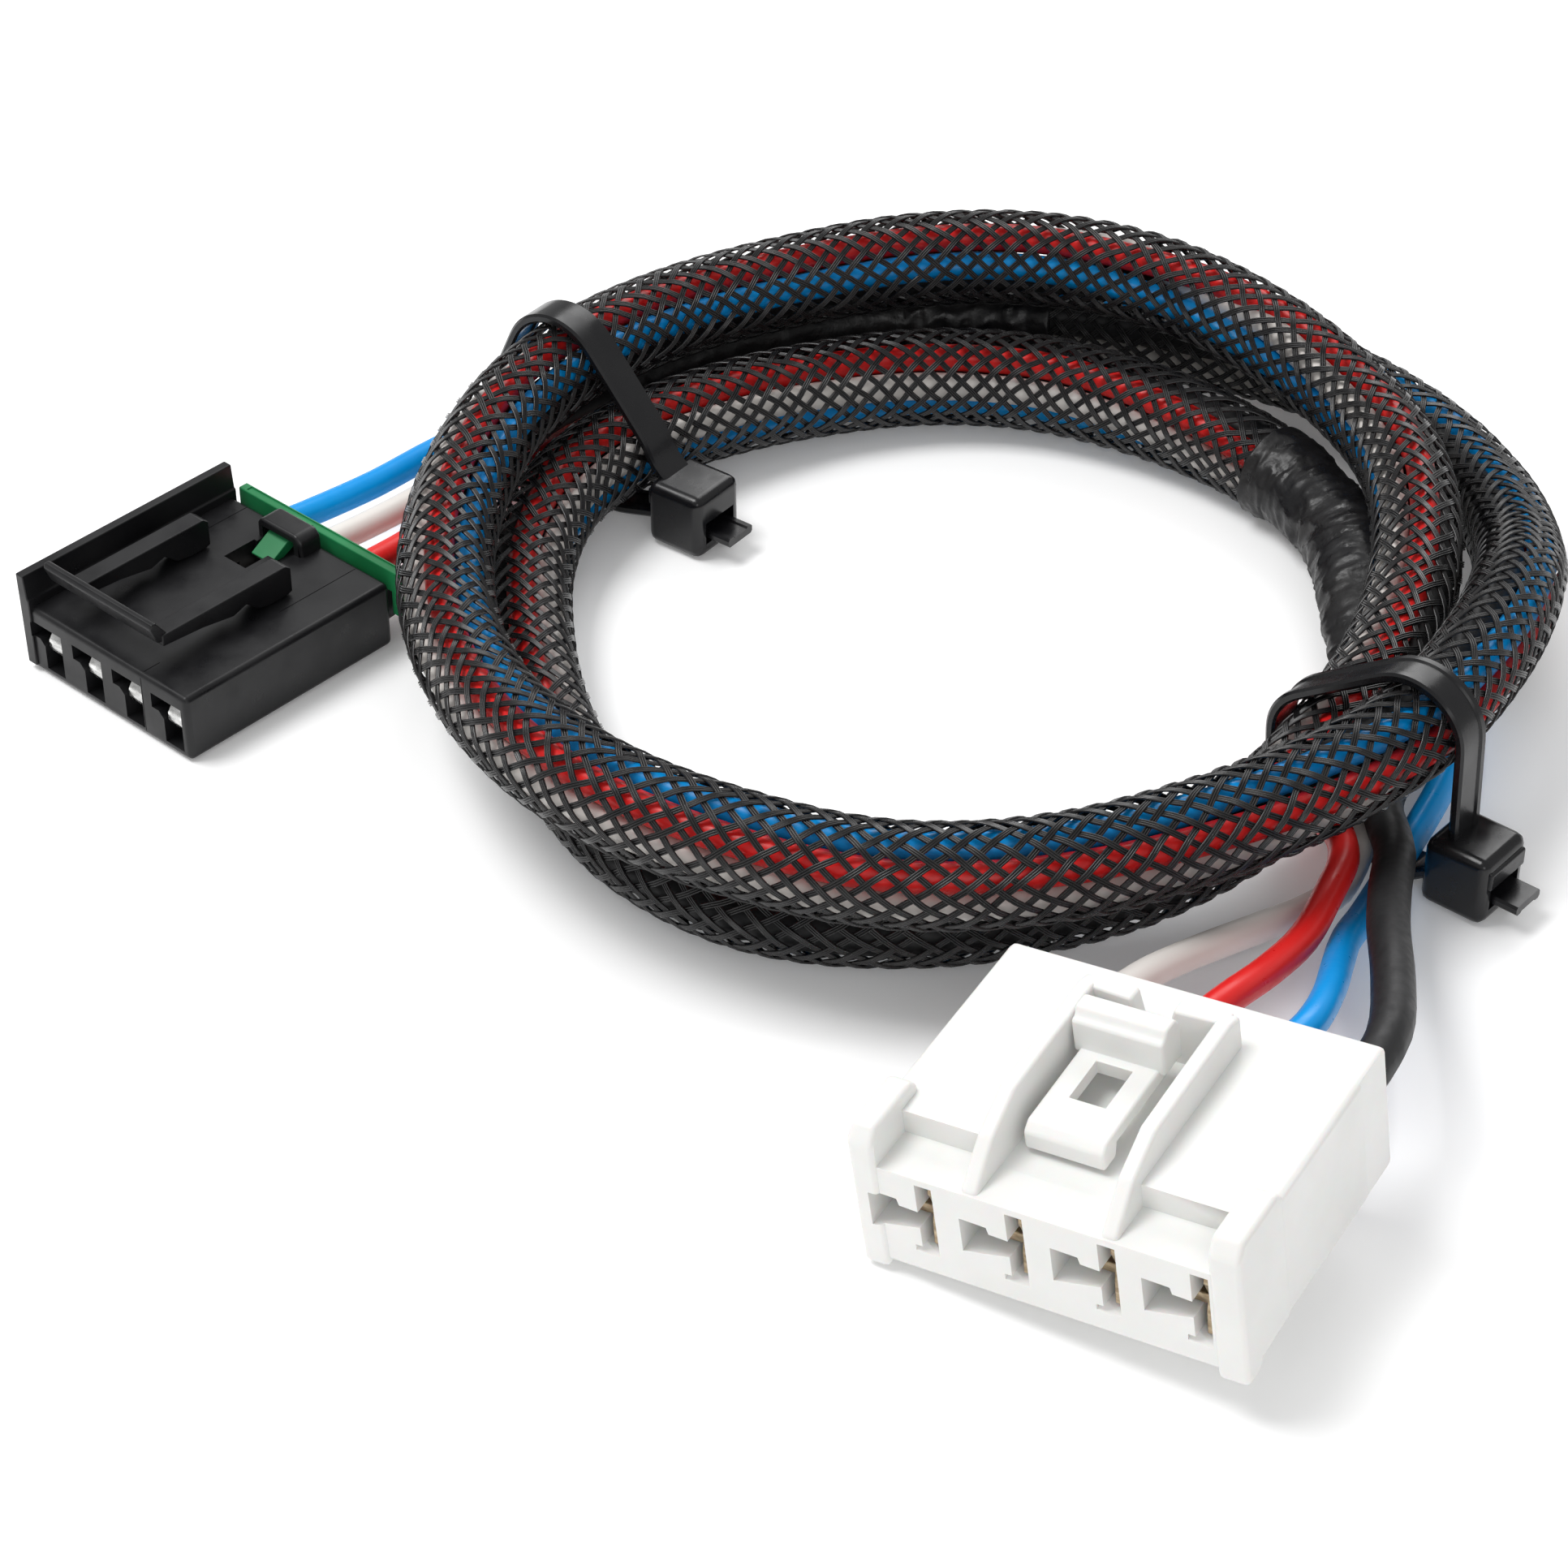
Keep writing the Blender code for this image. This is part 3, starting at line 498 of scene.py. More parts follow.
def braidTree():
    # every second yarn of one hand, wound on the guide curve and woven over two and under two
    tree, given, out = newTree("braidYarns", [
        ("Profile", "Object"), ("Yarns", "Int"), ("First Yarn", "Int"), ("Yarns Each Way", "Int"),
        ("Samples", "Int"), ("Turns", "Float"), ("Hand", "Float"), ("Lift", "Float"), ("Inset", "Float"),
        ("Unevenness", "Float"), ("Seed", "Float"), ("Finish", "Material")])
    value = given.outputs
    base = node(tree, "GeometryNodeCurvePrimitiveLine")
    even = node(tree, "GeometryNodeResampleCurve", Curve=base.outputs[0], Count=value["Samples"])
    copies = tree.nodes.new("GeometryNodeDuplicateElements")
    copies.domain = "SPLINE"
    link(tree, copies, "_0", even.outputs[0])
    link(tree, copies, "Amount", value["Yarns"])
    index = tree.nodes.new("GeometryNodeInputIndex").outputs[0]
    row = sums(tree, "FLOOR", sums(tree, "DIVIDE", sums(tree, "ADD", index, 0.5), value["Samples"]))
    along = sums(tree, "SUBTRACT", index, sums(tree, "MULTIPLY", row, value["Samples"]))
    factor = sums(tree, "DIVIDE", along, sums(tree, "SUBTRACT", value["Samples"], 1.0))
    yarn = sums(tree, "ADD", sums(tree, "MULTIPLY", row, 2.0), value["First Yarn"])
    sampled = tree.nodes.new("GeometryNodeSampleCurve")
    sampled.mode = "FACTOR"
    sampled.data_type = "FLOAT"
    link(tree, sampled, "Curves", value["Geometry"])
    link(tree, sampled, "Value", tree.nodes.new("GeometryNodeInputRadius").outputs[0])
    link(tree, sampled, "Factor", factor)
    wound = sums(tree, "MULTIPLY", factor, value["Turns"])
    first = sums(tree, "DIVIDE", yarn, value["Yarns Each Way"])
    spot = node(tree, "ShaderNodeCombineXYZ", X=sums(tree, "MULTIPLY", factor, braid["unevenAlong"]),
                Y=sums(tree, "MULTIPLY", yarn, braid["unevenAcross"]), Z=value["Seed"]).outputs[0]
    wander = node(tree, "ShaderNodeTexNoise", Vector=spot, Scale=1.0, Detail=1.5).outputs["Fac"]
    wander = sums(tree, "MULTIPLY", sums(tree, "SUBTRACT", wander, 0.5), value["Unevenness"])
    turns = sums(tree, "ADD", first, sums(tree, "MULTIPLY", wound, value["Hand"]))
    angle = sums(tree, "MULTIPLY", sums(tree, "ADD", turns, wander), 2 * math.pi)
    crossings = sums(tree, "MULTIPLY", sums(tree, "MULTIPLY", wound, 2.0), value["Yarns Each Way"])
    phase = sums(tree, "ADD", sums(tree, "MULTIPLY", yarn, 2.0),
                 sums(tree, "MULTIPLY", crossings, value["Hand"]))
    wave = sums(tree, "COSINE", sums(tree, "MULTIPLY", sums(tree, "SUBTRACT", phase, 0.5), math.pi / 2))
    wave = sums(tree, "MULTIPLY", sums(tree, "MULTIPLY", wave, value["Hand"]), value["Lift"])
    reach = sums(tree, "MULTIPLY", sampled.outputs["Value"], mm)
    reach = sums(tree, "ADD", sums(tree, "SUBTRACT", reach, value["Inset"]), wave)
    inward = sampled.outputs["Normal"]
    upward = vectorSums(tree, "CROSS_PRODUCT", inward, sampled.outputs["Tangent"])
    out1 = vectorSums(tree, "SCALE", inward, scale=sums(tree, "MULTIPLY", sums(tree, "COSINE", angle), -1.0))
    out2 = vectorSums(tree, "SCALE", upward, scale=sums(tree, "SINE", angle))
    outward = vectorSums(tree, "ADD", out1, out2)
    place = vectorSums(tree, "ADD", sampled.outputs["Position"],
                       vectorSums(tree, "SCALE", outward, scale=reach))
    facing = tree.nodes.new("GeometryNodeSetCurveNormal")
    facing.mode = "FREE"
    link(tree, facing, "Curve", copies.outputs[0])
    link(tree, facing, "Normal", outward)
    placed = node(tree, "GeometryNodeSetPosition", Geometry=facing.outputs[0], Position=place)
    shape = tree.nodes.new("GeometryNodeObjectInfo")
    link(tree, shape, "Object", value["Profile"])
    body = node(tree, "GeometryNodeCurveToMesh", Curve=placed.outputs[0], Fill_Caps=True)
    link(tree, body, "Profile Curve", shape.outputs["Geometry"])
    smooth = node(tree, "GeometryNodeSetShadeSmooth", Shade_Smooth=True)
    link(tree, smooth, "_0", body.outputs[0])
    real = node(tree, "GeometryNodeRealizeInstances", Geometry=smooth.outputs[0])
    dressed = node(tree, "GeometryNodeSetMaterial", Geometry=real.outputs[0], Material=value["Finish"])
    tree.links.new(dressed.outputs[0], out.inputs[0])
    return tree


print("braided sleeve")
sleeveAngles = steps(coil["sleeveFrom"], coil["sleeveTo"], coil["sleeveSamples"])
sleeveLine = [fromCoil(routeAt(a)[0]) for a in sleeveAngles]
sleeveRadii = [routeAt(a)[1] for a in sleeveAngles]
guide = polyCurve("sleeveGuide", sleeveLine, sleeveRadii, 1, None)
guide.data.bevel_depth = 0.0
profile = yarnProfile()
yarns = []
tree = braidTree()
fibre = braidFibre()
for hand in (1.0, -1.0):
    for first in (0, 1):
        side = "Right" if hand > 0 else "Left"
        yarns.append(treeMesh("yarns%s%d" % (side, first + 1), guide, tree, {
            "Profile": profile, "Yarns": braid["yarnsEachWay"] // 2, "First Yarn": first,
            "Yarns Each Way": braid["yarnsEachWay"], "Samples": braid["samples"], "Turns": braid["turns"],
            "Hand": hand, "Lift": braid["lift"] * mm, "Inset": braid["inset"] * mm,
            "Unevenness": braid["unevenness"], "Seed": braid["seed"] + first, "Finish": fibre}))
bpy.data.objects.remove(guide)
bpy.data.objects.remove(profile)
for piece in yarns:
    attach(piece, "harness")
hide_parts("braided_sleeve")


# Moulded pieces: outlines pushed along one plug axis, joined and cut, in the plug's own millimetres
edges = {"softness": 0.14, "softenAbove": 50, "sharpAbove": 38, "roundSides": 24}


def outlineMesh(outline, axis, low, high, roundness=0.0):
    # axis u takes (v, h) outlines, v takes (u, h) and h takes (u, v)
    def spot(a, b, c):
        return {"u": (c, a, b), "v": (a, c, b), "h": (a, b, c)}[axis]
    bm = bmesh.new()
    face = bm.faces.new([bm.verts.new(spot(a, b, low)) for a, b in outline])
    push = bmesh.ops.extrude_face_region(bm, geom=[face])["geom"]
    bmesh.ops.translate(bm, verts=[v for v in push if isinstance(v, bmesh.types.BMVert)],
                        vec=spot(0.0, 0.0, high - low))
    bmesh.ops.recalc_face_normals(bm, faces=bm.faces)
    if roundness:
        bmesh.ops.bevel(bm, geom=bm.edges[:], offset=roundness, segments=3, profile=0.5, affect="EDGES",
                        clamp_overlap=True)
    mesh = bpy.data.meshes.new("outline")
    bm.to_mesh(mesh)
    bm.free()
    return mesh


def blockMesh(u0, u1, v0, v1, h0, h1, roundness=0.0):
    return outlineMesh([(u0, v0), (u1, v0), (u1, v1), (u0, v1)], "h", h0, h1, roundness)


def roundMesh(u, h, radius, v0, v1):
    sides = edges["roundSides"]
    ring = [2 * math.pi * i / sides for i in range(sides)]
    return outlineMesh([(u + radius * math.cos(t), h + radius * math.sin(t)) for t in ring], "v", v0, v1)


def join(*meshes):
    return [("UNION", mesh) for mesh in meshes]


def cut(*meshes):
    return [("DIFFERENCE", mesh) for mesh in meshes]


def moulding(name, plug, mat, first, changes, softness=edges["softness"]):
    # changes are joins and cuts, done in turn; softness rounds the edges that they leave
    body = addPiece(name + "Rough", first)
    helpers = []
    for operation, mesh in changes:
        helper = addPiece("helper", mesh)
        step = body.modifiers.new("step", "BOOLEAN")
        step.operation = operation
        step.solver = "EXACT"
        step.object = helper
        helpers.append(helper)
    if softness:
        softer = body.modifiers.new("softer edges", "BEVEL")
        softer.width = softness
        softer.segments = 2
        softer.limit_method = "ANGLE"
        softer.angle_limit = math.radians(edges["softenAbove"])
    bpy.context.view_layer.update()
    ready = body.evaluated_get(bpy.context.evaluated_depsgraph_get())
    mesh = bpy.data.meshes.new_from_object(ready, depsgraph=bpy.context.evaluated_depsgraph_get())
    for helper in helpers + [body]:
        bpy.data.objects.remove(helper)
    mesh.transform(plugMatrix(plug) if plug else Matrix.Scale(mm, 4))
    mesh.materials.clear()
    mesh.materials.append(mat)
    mesh.shade_smooth()
    mesh.set_sharp_from_angle(angle=math.radians(edges["sharpAbove"]))
    piece = addPiece(name, mesh)
    flat = piece.modifiers.new("even shading", "WEIGHTED_NORMAL")
    flat.keep_sharp = True
    return piece


def nylon(name, dark, light, roughness, grain, **shaderValues):
    # fine moulding texture over a soft unevenness
    mat, tree, shader = newMaterial(name, light, roughness, **shaderValues)
    mottled(tree, shader, speckle(tree, 90, 4.0), dark, light)
    uneven(tree, shader, speckle(tree, 260, 5.0), roughness - 0.08, roughness + 0.12)
    under = bump(tree, shader, speckle(tree, 120, 3.0), 0.00010, 0.25)
    bump(tree, shader, speckle(tree, grain, 4.0), 0.000014, 0.5, under)
    return mat


def tinPlate(name, dark, light, roughness):
    mat, tree, shader = newMaterial(name, light, roughness, 1.0)
    mottled(tree, shader, speckle(tree, 700, 3.0, (1.0, 1.0, 3.0)), dark, light)
    uneven(tree, shader, speckle(tree, 1600, 4.0), roughness - 0.06, roughness + 0.14)
    bump(tree, shader, speckle(tree, 2600, 2.0), 0.00003, 0.4)
    return mat


# Both plugs: the round openings that the wires enter by, the contacts' round rear ends, and how far a
# cut runs out past a face
bores = {"radii": (2.05, 2.05, 2.05, 2.65), "front": 14.0, "past": 3.0, "crimpRadius": 1.45, "crimpGap": 0.3}
cutPast = 1.0


def rearBores(plug):
    return [roundMesh(u, plug["wayHeight"], radius, bores["front"], plug["size"][1] + bores["past"])
            for u, radius in zip(plug["ways"], bores["radii"])]


def crimps(plug, front):
    # the round rear end of each contact, up to its wire
    return [roundMesh(u, plug["wayHeight"], bores["crimpRadius"], front, wireEnd - bores["crimpGap"])
            for u in plug["ways"]]


def finish(piece, body, slot, *nodes):
    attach(piece, body)
    if nodes:
        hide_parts(*nodes)


print("white plug")
# Places are (u, v, h): across from the left, back from the front face, and up. A piece's "place" is where its
# outline starts and stops along the third axis.
whiteParts = {
    "sideInsets": (0.15, 0.35),
    "bodyRoundness": 0.8,
    "frontStep": (2.8, 38.9, -2.0, 5.6, 12.7, 22.0),
    "channel": (13.8, 27.2, 5.0, 25.4, 12.6, 22.0),
    "sideStep": (0.62, 6.0),  # in from the right side, and along from the rear
    "guard": [(0.3, 10.0), (0.3, 13.0), (4.4, 16.8), (9.5, 19.2), (25.4, 19.7), (27.2, 19.2), (27.2, 10.0)],
    "guardPlaces": ((12.0, 13.8), (27.2, 29.0)),
    "guardRoundness": 0.45,
    "rib": [(-0.4, -0.6), (2.4, -0.6), (3.0, 0.5), (9.0, 0.8), (9.0, 16.2), (8.0, 17.2), (0.8, 17.2),
            (-0.4, 15.6)],
    "ribPlaces": ((-0.1, 2.8), (38.9, 42.3)),
    "ribRoundness": 0.6,
    "rearWalls": ([(12.6, 11.0), (19.3, 11.0), (18.5, 16.4), (18.0, 19.3), (12.6, 19.5)],
                  [(21.2, 11.0), (28.4, 11.0), (28.4, 19.5), (22.6, 19.3), (21.7, 16.4)]),
    "rearWallPlace": (25.2, 27.2),
    "rearWallRoundness": 0.4,
    "lever": [(7.8, 13.2), (10.2, 13.2), (10.7, 14.7), (22.5, 14.8), (22.5, 16.5), (8.9, 16.2), (7.8, 15.3)],
    "leverPlace": (15.0, 23.8),
    "leverRoundness": 0.35,
    "leverWindow": (17.4, 21.4, 13.0, 18.6, 12.0, 18.0),
    "thumbTab": [(19.6, 15.8), (23.3, 15.8), (23.3, 19.9), (22.6, 20.9), (20.7, 20.9), (20.3, 20.0),
                 (19.6, 19.8)],
    "thumbTabPlace": (14.3, 24.4),
    # u is from each way's middle line from here on
    "wayDepth": 15.0,
    "upright": (-0.9, 1.0, 3.6, 11.9),  # left, right, low, high
    "level": [(-6.2, 5.0), (-0.8, 6.2), (-0.8, 8.3), (-3.0, 8.4), (-3.2, 9.2), (-6.2, 9.3)],
    "leadIn": [(-1.0, 2.3), (1.2, 3.7), (-1.0, 3.7)],
    "leadInPlace": (-1.7, 1.0),
    "blade": [(0.7, 3.9), (13.0, 3.9), (13.0, 11.6), (0.9, 11.6), (0.7, 10.4), (1.5, 8.4), (0.9, 6.6)],
    "bladePlace": (0.05, 0.85),
    "bladeRoundness": 0.1,
    "tongue": (-3.0, 0.4, 1.8, 12.0, 6.6, 7.9, 0.2),
    "crimpFront": 12.6,
}


def beside(u, place):
    return u + place[0], u + place[1]


def whiteWays():
    # an upright slot, a level slot and a sloping lead-in at each way
    meshes = []
    for u in whitePlug["ways"]:
        left, right, low, high = whiteParts["upright"]
        meshes.append(blockMesh(u + left, u + right, -cutPast, whiteParts["wayDepth"], low, high))
        meshes.append(outlineMesh([(u + a, h) for a, h in whiteParts["level"]], "v", -cutPast,
                                  whiteParts["wayDepth"]))
        meshes.append(outlineMesh(whiteParts["leadIn"], "u", *beside(u, whiteParts["leadInPlace"])))
    return meshes


width, length, height = whitePlug["size"]
left, right = whiteParts["sideInsets"]
whiteNylon = nylon("whiteNylon", (0.80, 0.80, 0.78), (0.84, 0.84, 0.825), 0.40, 2400,
                   Subsurface_Weight=0.2, Subsurface_Scale=0.001, Specular_IOR_Level=0.3)
guards = [outlineMesh(whiteParts["guard"], "u", *place, whiteParts["guardRoundness"])
          for place in whiteParts["guardPlaces"]]
ribs = [outlineMesh(whiteParts["rib"], "u", *place, whiteParts["ribRoundness"])
        for place in whiteParts["ribPlaces"]]
rearWalls = [outlineMesh(wall, "v", *whiteParts["rearWallPlace"], whiteParts["rearWallRoundness"])
             for wall in whiteParts["rearWalls"]]
depth, back = whiteParts["sideStep"]
sideStep = blockMesh(width - depth, width + cutPast, length - back, length + cutPast, -cutPast,
                     height + cutPast)
whiteShell = moulding(
    "whiteShell", whitePlug, whiteNylon,
    blockMesh(left, width - right, 0.0, length, 0.0, height, whiteParts["bodyRoundness"]),
    cut(blockMesh(*whiteParts["frontStep"]), blockMesh(*whiteParts["channel"]), sideStep)
    + join(*guards, *ribs, *rearWalls) + cut(*whiteWays(), *rearBores(whitePlug)))
finish(whiteShell, "harness", "white_nylon", "white_housing")

roundness = whiteParts["leverRoundness"]
lever = outlineMesh(whiteParts["lever"], "u", *whiteParts["leverPlace"], roundness)
thumbTab = outlineMesh(whiteParts["thumbTab"], "u", *whiteParts["thumbTabPlace"], roundness)
whiteLever = moulding("whiteLever", whitePlug, whiteNylon, lever,
                      cut(blockMesh(*whiteParts["leverWindow"])) + join(thumbTab))
finish(whiteLever, "white_latch", "white_nylon", "white_latch")

brass = tinPlate("tinnedBrass", (0.25, 0.185, 0.115), (0.50, 0.405, 0.28), 0.34)
contacts = []
for u, crimp in zip(whitePlug["ways"], crimps(whitePlug, whiteParts["crimpFront"])):
    left, right, *tongue = whiteParts["tongue"]
    contacts.append(outlineMesh(whiteParts["blade"], "u", *beside(u, whiteParts["bladePlace"]),
                                whiteParts["bladeRoundness"]))
    contacts.append(blockMesh(u + left, u + right, *tongue))
    contacts.append(crimp)
whiteContacts = moulding("whiteContacts", whitePlug, brass, contacts[0], join(*contacts[1:]), 0.0)
finish(whiteContacts, "harness", "tinned_brass", *["white_terminal_%d" % n for n in (1, 2, 3, 4)])

print("black plug")
# Places are as for the white plug
blackParts = {
    "bodyRoundness": 0.75,
    "guard": [(-0.2, 0.6), (1.3, 0.6), (1.3, 9.8), (1.05, 10.0), (0.75, 13.1), (-0.5, 13.1), (-0.4, 9.4)],
    "guardOverhang": 0.3,
    "guardRoundness": 0.3,
    "bridge": [(9.4, 8.2), (9.4, 10.7), (10.2, 11.5), (16.3, 11.5), (17.2, 10.6), (17.2, 8.2)],
    "bridgePlace": (28.2, 31.6),
    "bridgeRoundness": 0.5,
    "bridgeOpening": (10.4, 15.9, 26.0, 33.5, 8.0, 10.5),
    "window": (9.9, 13.7, 22.4, 27.2, 4.0, 12.0),
    "seams": ((4.0, 4.12, 22.9, 33.0, 8.74, 9.2), (20.7, 20.82, -1.0, 3.0, 8.72, 9.2),
              (20.7, 20.82, -0.2, 0.06, 0.0, 9.0), (23.4, 23.52, 19.0, 33.0, 8.74, 9.2)),
    "arm": [(3.0, 11.5), (3.0, 13.0), (21.9, 13.0), (22.7, 12.4), (22.7, 9.2), (22.0, 8.95), (19.4, 8.95),
            (17.5, 9.25), (15.7, 10.8), (13.6, 10.2), (9.0, 11.0)],
    "armPlaces": ((4.8, 7.3), (19.2, 21.8)),
    "armRoundness": 0.18,
    "frontBar": [(1.5, 14.4), (1.8, 15.0), (2.4, 15.0), (3.9, 13.0), (3.9, 11.6), (2.3, 12.3)],
    "frontBarPlace": (2.6, 21.6),
    "frontBarRoundness": 0.2,
    "lockPlate": (1.2, 29.3),
    "lockReach": (0.7, 2.1),  # behind the rear face
    "lockHeights": (6.85, 9.9),
    "lockLeg": (28.0, 3.7, 8.5),  # left, low, high
    "lockGroove": (2.4, 28.0, 1.0, 1.8, 9.75, 11.0),  # left, right, reach behind the rear face, low, high
    "lockRoundness": 0.22,
    "lockTongue": [(25.7, 8.1), (29.4, 10.25), (32.8, 10.2), (32.8, 9.0), (30.0, 8.9), (26.4, 7.2)],
    "lockTonguePlace": (10.9, 14.4),
    "lockTongueRoundness": 0.15,
    # u is from each way's middle line from here on; a way is wide above and narrow below
    "way": [(-2.9, 6.9), (2.3, 6.9), (2.3, 1.0), (-0.9, 1.0), (-0.9, 4.1), (-1.7, 4.9), (-2.9, 4.9)],
    "fold": [(14.0, 5.4), (2.2, 5.6), (1.5, 5.3), (1.1, 4.8), (1.0, 4.3), (1.2, 3.7), (1.7, 3.3), (9.0, 3.2),
             (9.0, 2.8), (1.7, 2.8), (0.9, 3.2), (0.5, 4.0), (0.55, 4.9), (1.1, 5.7), (2.0, 6.1),
             (14.0, 5.9)],
    "foldPlace": (-0.7, 2.0),
    "crimpFront": 13.5,
}


def blackWays():
    return [outlineMesh([(u + a, h) for a, h in blackParts["way"]], "v", -cutPast, wireEnd)
            for u in blackPlug["ways"]]


width, length, height = blackPlug["size"]
blackNylon = nylon("blackNylon", (0.006, 0.006, 0.007), (0.013, 0.013, 0.014), 0.34, 1500,
                   Specular_IOR_Level=0.33)
past = blackParts["guardOverhang"]
guard = outlineMesh(blackParts["guard"], "v", -past, length + past, blackParts["guardRoundness"])
bridge = outlineMesh(blackParts["bridge"], "v", *blackParts["bridgePlace"], blackParts["bridgeRoundness"])
blackShell = moulding(
    "blackShell", blackPlug, blackNylon,
    blockMesh(0.0, width, 0.0, length, 0.0, height, blackParts["bodyRoundness"]),
    join(guard, bridge) + cut(blockMesh(*blackParts["bridgeOpening"]), blockMesh(*blackParts["window"]))
    + cut(*[blockMesh(*seam) for seam in blackParts["seams"]]) + cut(*blackWays(), *rearBores(blackPlug)))
finish(blackShell, "harness", "black_nylon", "black_housing")

arms = [outlineMesh(blackParts["arm"], "u", *place, blackParts["armRoundness"])
        for place in blackParts["armPlaces"]]
frontBar = outlineMesh(blackParts["frontBar"], "u", *blackParts["frontBarPlace"],
                       blackParts["frontBarRoundness"])
blackLever = moulding("blackLever", blackPlug, blackNylon, arms[0], join(arms[1], frontBar))
finish(blackLever, "black_latch", "black_nylon", "black_latch")

greenNylon = nylon("greenNylon", (0.008, 0.160, 0.050), (0.016, 0.225, 0.078), 0.42, 1800,
                   Specular_IOR_Level=0.35)
roundness = blackParts["lockRoundness"]
left, right = blackParts["lockPlate"]
near, far = [length + reach for reach in blackParts["lockReach"]]
legLeft, legLow, legHigh = blackParts["lockLeg"]
grooveLeft, grooveRight, grooveNear, grooveFar, grooveLow, grooveHigh = blackParts["lockGroove"]
greenClip = moulding(
    "greenClip", blackPlug, greenNylon,
    blockMesh(left, right, near, far, *blackParts["lockHeights"], roundness),
    join(outlineMesh(blackParts["lockTongue"], "u", *blackParts["lockTonguePlace"],
                     blackParts["lockTongueRoundness"]),
         blockMesh(legLeft, right, near, far, legLow, legHigh, roundness))
    + cut(blockMesh(grooveLeft, grooveRight, length + grooveNear, length + grooveFar, grooveLow, grooveHigh)))
finish(greenClip, "green_lock", "green_nylon", "green_lock")

tin = tinPlate("tinPlate", (0.50, 0.50, 0.49), (0.86, 0.86, 0.85), 0.22)
contacts = []
for u, crimp in zip(blackPlug["ways"], crimps(blackPlug, blackParts["crimpFront"])):
    contacts.append(outlineMesh(blackParts["fold"], "u", *beside(u, blackParts["foldPlace"])))
    contacts.append(crimp)
blackContacts = moulding("blackContacts", blackPlug, tin, contacts[0], join(*contacts[1:]), 0.0)
finish(blackContacts, "harness", "tin_plate", *["black_terminal_%d" % n for n in (1, 2, 3, 4)])

# Crinkled tape round both ends of the sleeve: coil angle, distance, height, half width and half height
tape = {
    "blackEnd": [(78.5, 67.4, 6.1, 6.1, 6.1), (82.0, 67.4, 6.05, 5.8, 5.75), (86.0, 67.4, 6.0, 5.45, 5.4),
                 (92.0, 67.6, 5.95, 5.35, 5.3), (97.0, 67.6, 5.9, 5.3, 5.25)],
    "wrap": [(95.5, 67.6, 5.9, 5.4, 5.35), (105.0, 67.6, 5.85, 5.3, 5.25), (118.0, 67.2, 5.85, 5.3, 5.25),
             (126.0, 66.9, 5.95, 5.35, 5.3), (133.0, 66.6, 6.0, 5.4, 5.3)],
    "whiteEnd": [(-681.8, 49.4, 6.05, 6.05, 6.0), (-686.0, 49.6, 5.9, 5.7, 5.6),
                 (-690.0, 49.2, 5.9, 5.3, 5.2), (-697.0, 48.9, 5.85, 5.25, 5.2),
                 (-703.0, 48.5, 5.8, 5.5, 5.4), (-709.0, 48.4, 5.6, 6.1, 5.5),
                 (-715.0, 48.7, 5.2, 6.9, 5.1), (-721.0, 49.5, 4.7, 7.8, 4.6),
                 (-729.0, 51.0, 4.1, 8.6, 4.0)],
    "around": 56,
    "ringsPerDegree": 3.0,
    "fewestRings": 12,
    "crinkle": 0.42,
    "wrapCrinkle": 0.10,
    "fineShare": 0.35,
    "fineScale": 3.1,
    "foldLevel": 0.62,  # folds above this stand out, the rest sink in
    "grainAlong": 0.42,
    "grainTurn": 0.5,
    "grainAround": 1.6,
    "perDegree": 0.9,  # millimetres along the coil
    "overlapStep": 0.22,
    "layerWidth": 8.5,
    "endSteps": (0.72, 0.93),  # how the tape closes in at its ends
    "floorGap": 0.06,
}


def straightKey(keys, t):
    i = min(int(t), len(keys) - 2)
    return [a + (b - a) * (t - i) for a, b in zip(keys[i], keys[i + 1])]


def tapeGrowth(along, lie, crinkle, seed):
    # how far the tape stands out or in, from its folds and from one layer lapping the next
    around, layer = tape["grainAround"], tape["layerWidth"]
    grain = Vector((along * tape["grainAlong"] + lie * tape["grainTurn"], math.cos(lie) * around,
                    math.sin(lie) * around + seed))
    fold = 1.0 - 2.0 * abs(noise.noise(grain))
    fine = noise.noise(grain * tape["fineScale"])
    lap = ((along + lie * layer / (2 * math.pi)) % layer) / layer
    return (crinkle * (fold - tape["foldLevel"]) + tape["fineShare"] * crinkle * fine
            + tape["overlapStep"] * (lap - 0.5))


def shrunk(ring, share):
    middle = sum(ring, Vector()) / len(ring)
    return [middle + (p - middle) * share for p in ring]


def skinMesh(name, rings):
    # a closed skin over rings of places
    bm = bmesh.new()
    dots = [[bm.verts.new(p) for p in ring] for ring in rings]
    around = len(dots[0])
    for one, two in zip(dots, dots[1:]):
        for j in range(around):
            bm.faces.new((one[j], one[(j + 1) % around], two[(j + 1) % around], two[j]))
    bm.faces.new(dots[0])
    bm.faces.new(dots[-1])
    bmesh.ops.recalc_face_normals(bm, faces=bm.faces)
    mesh = bpy.data.meshes.new(name)
    bm.to_mesh(mesh)
    bm.free()
    return mesh


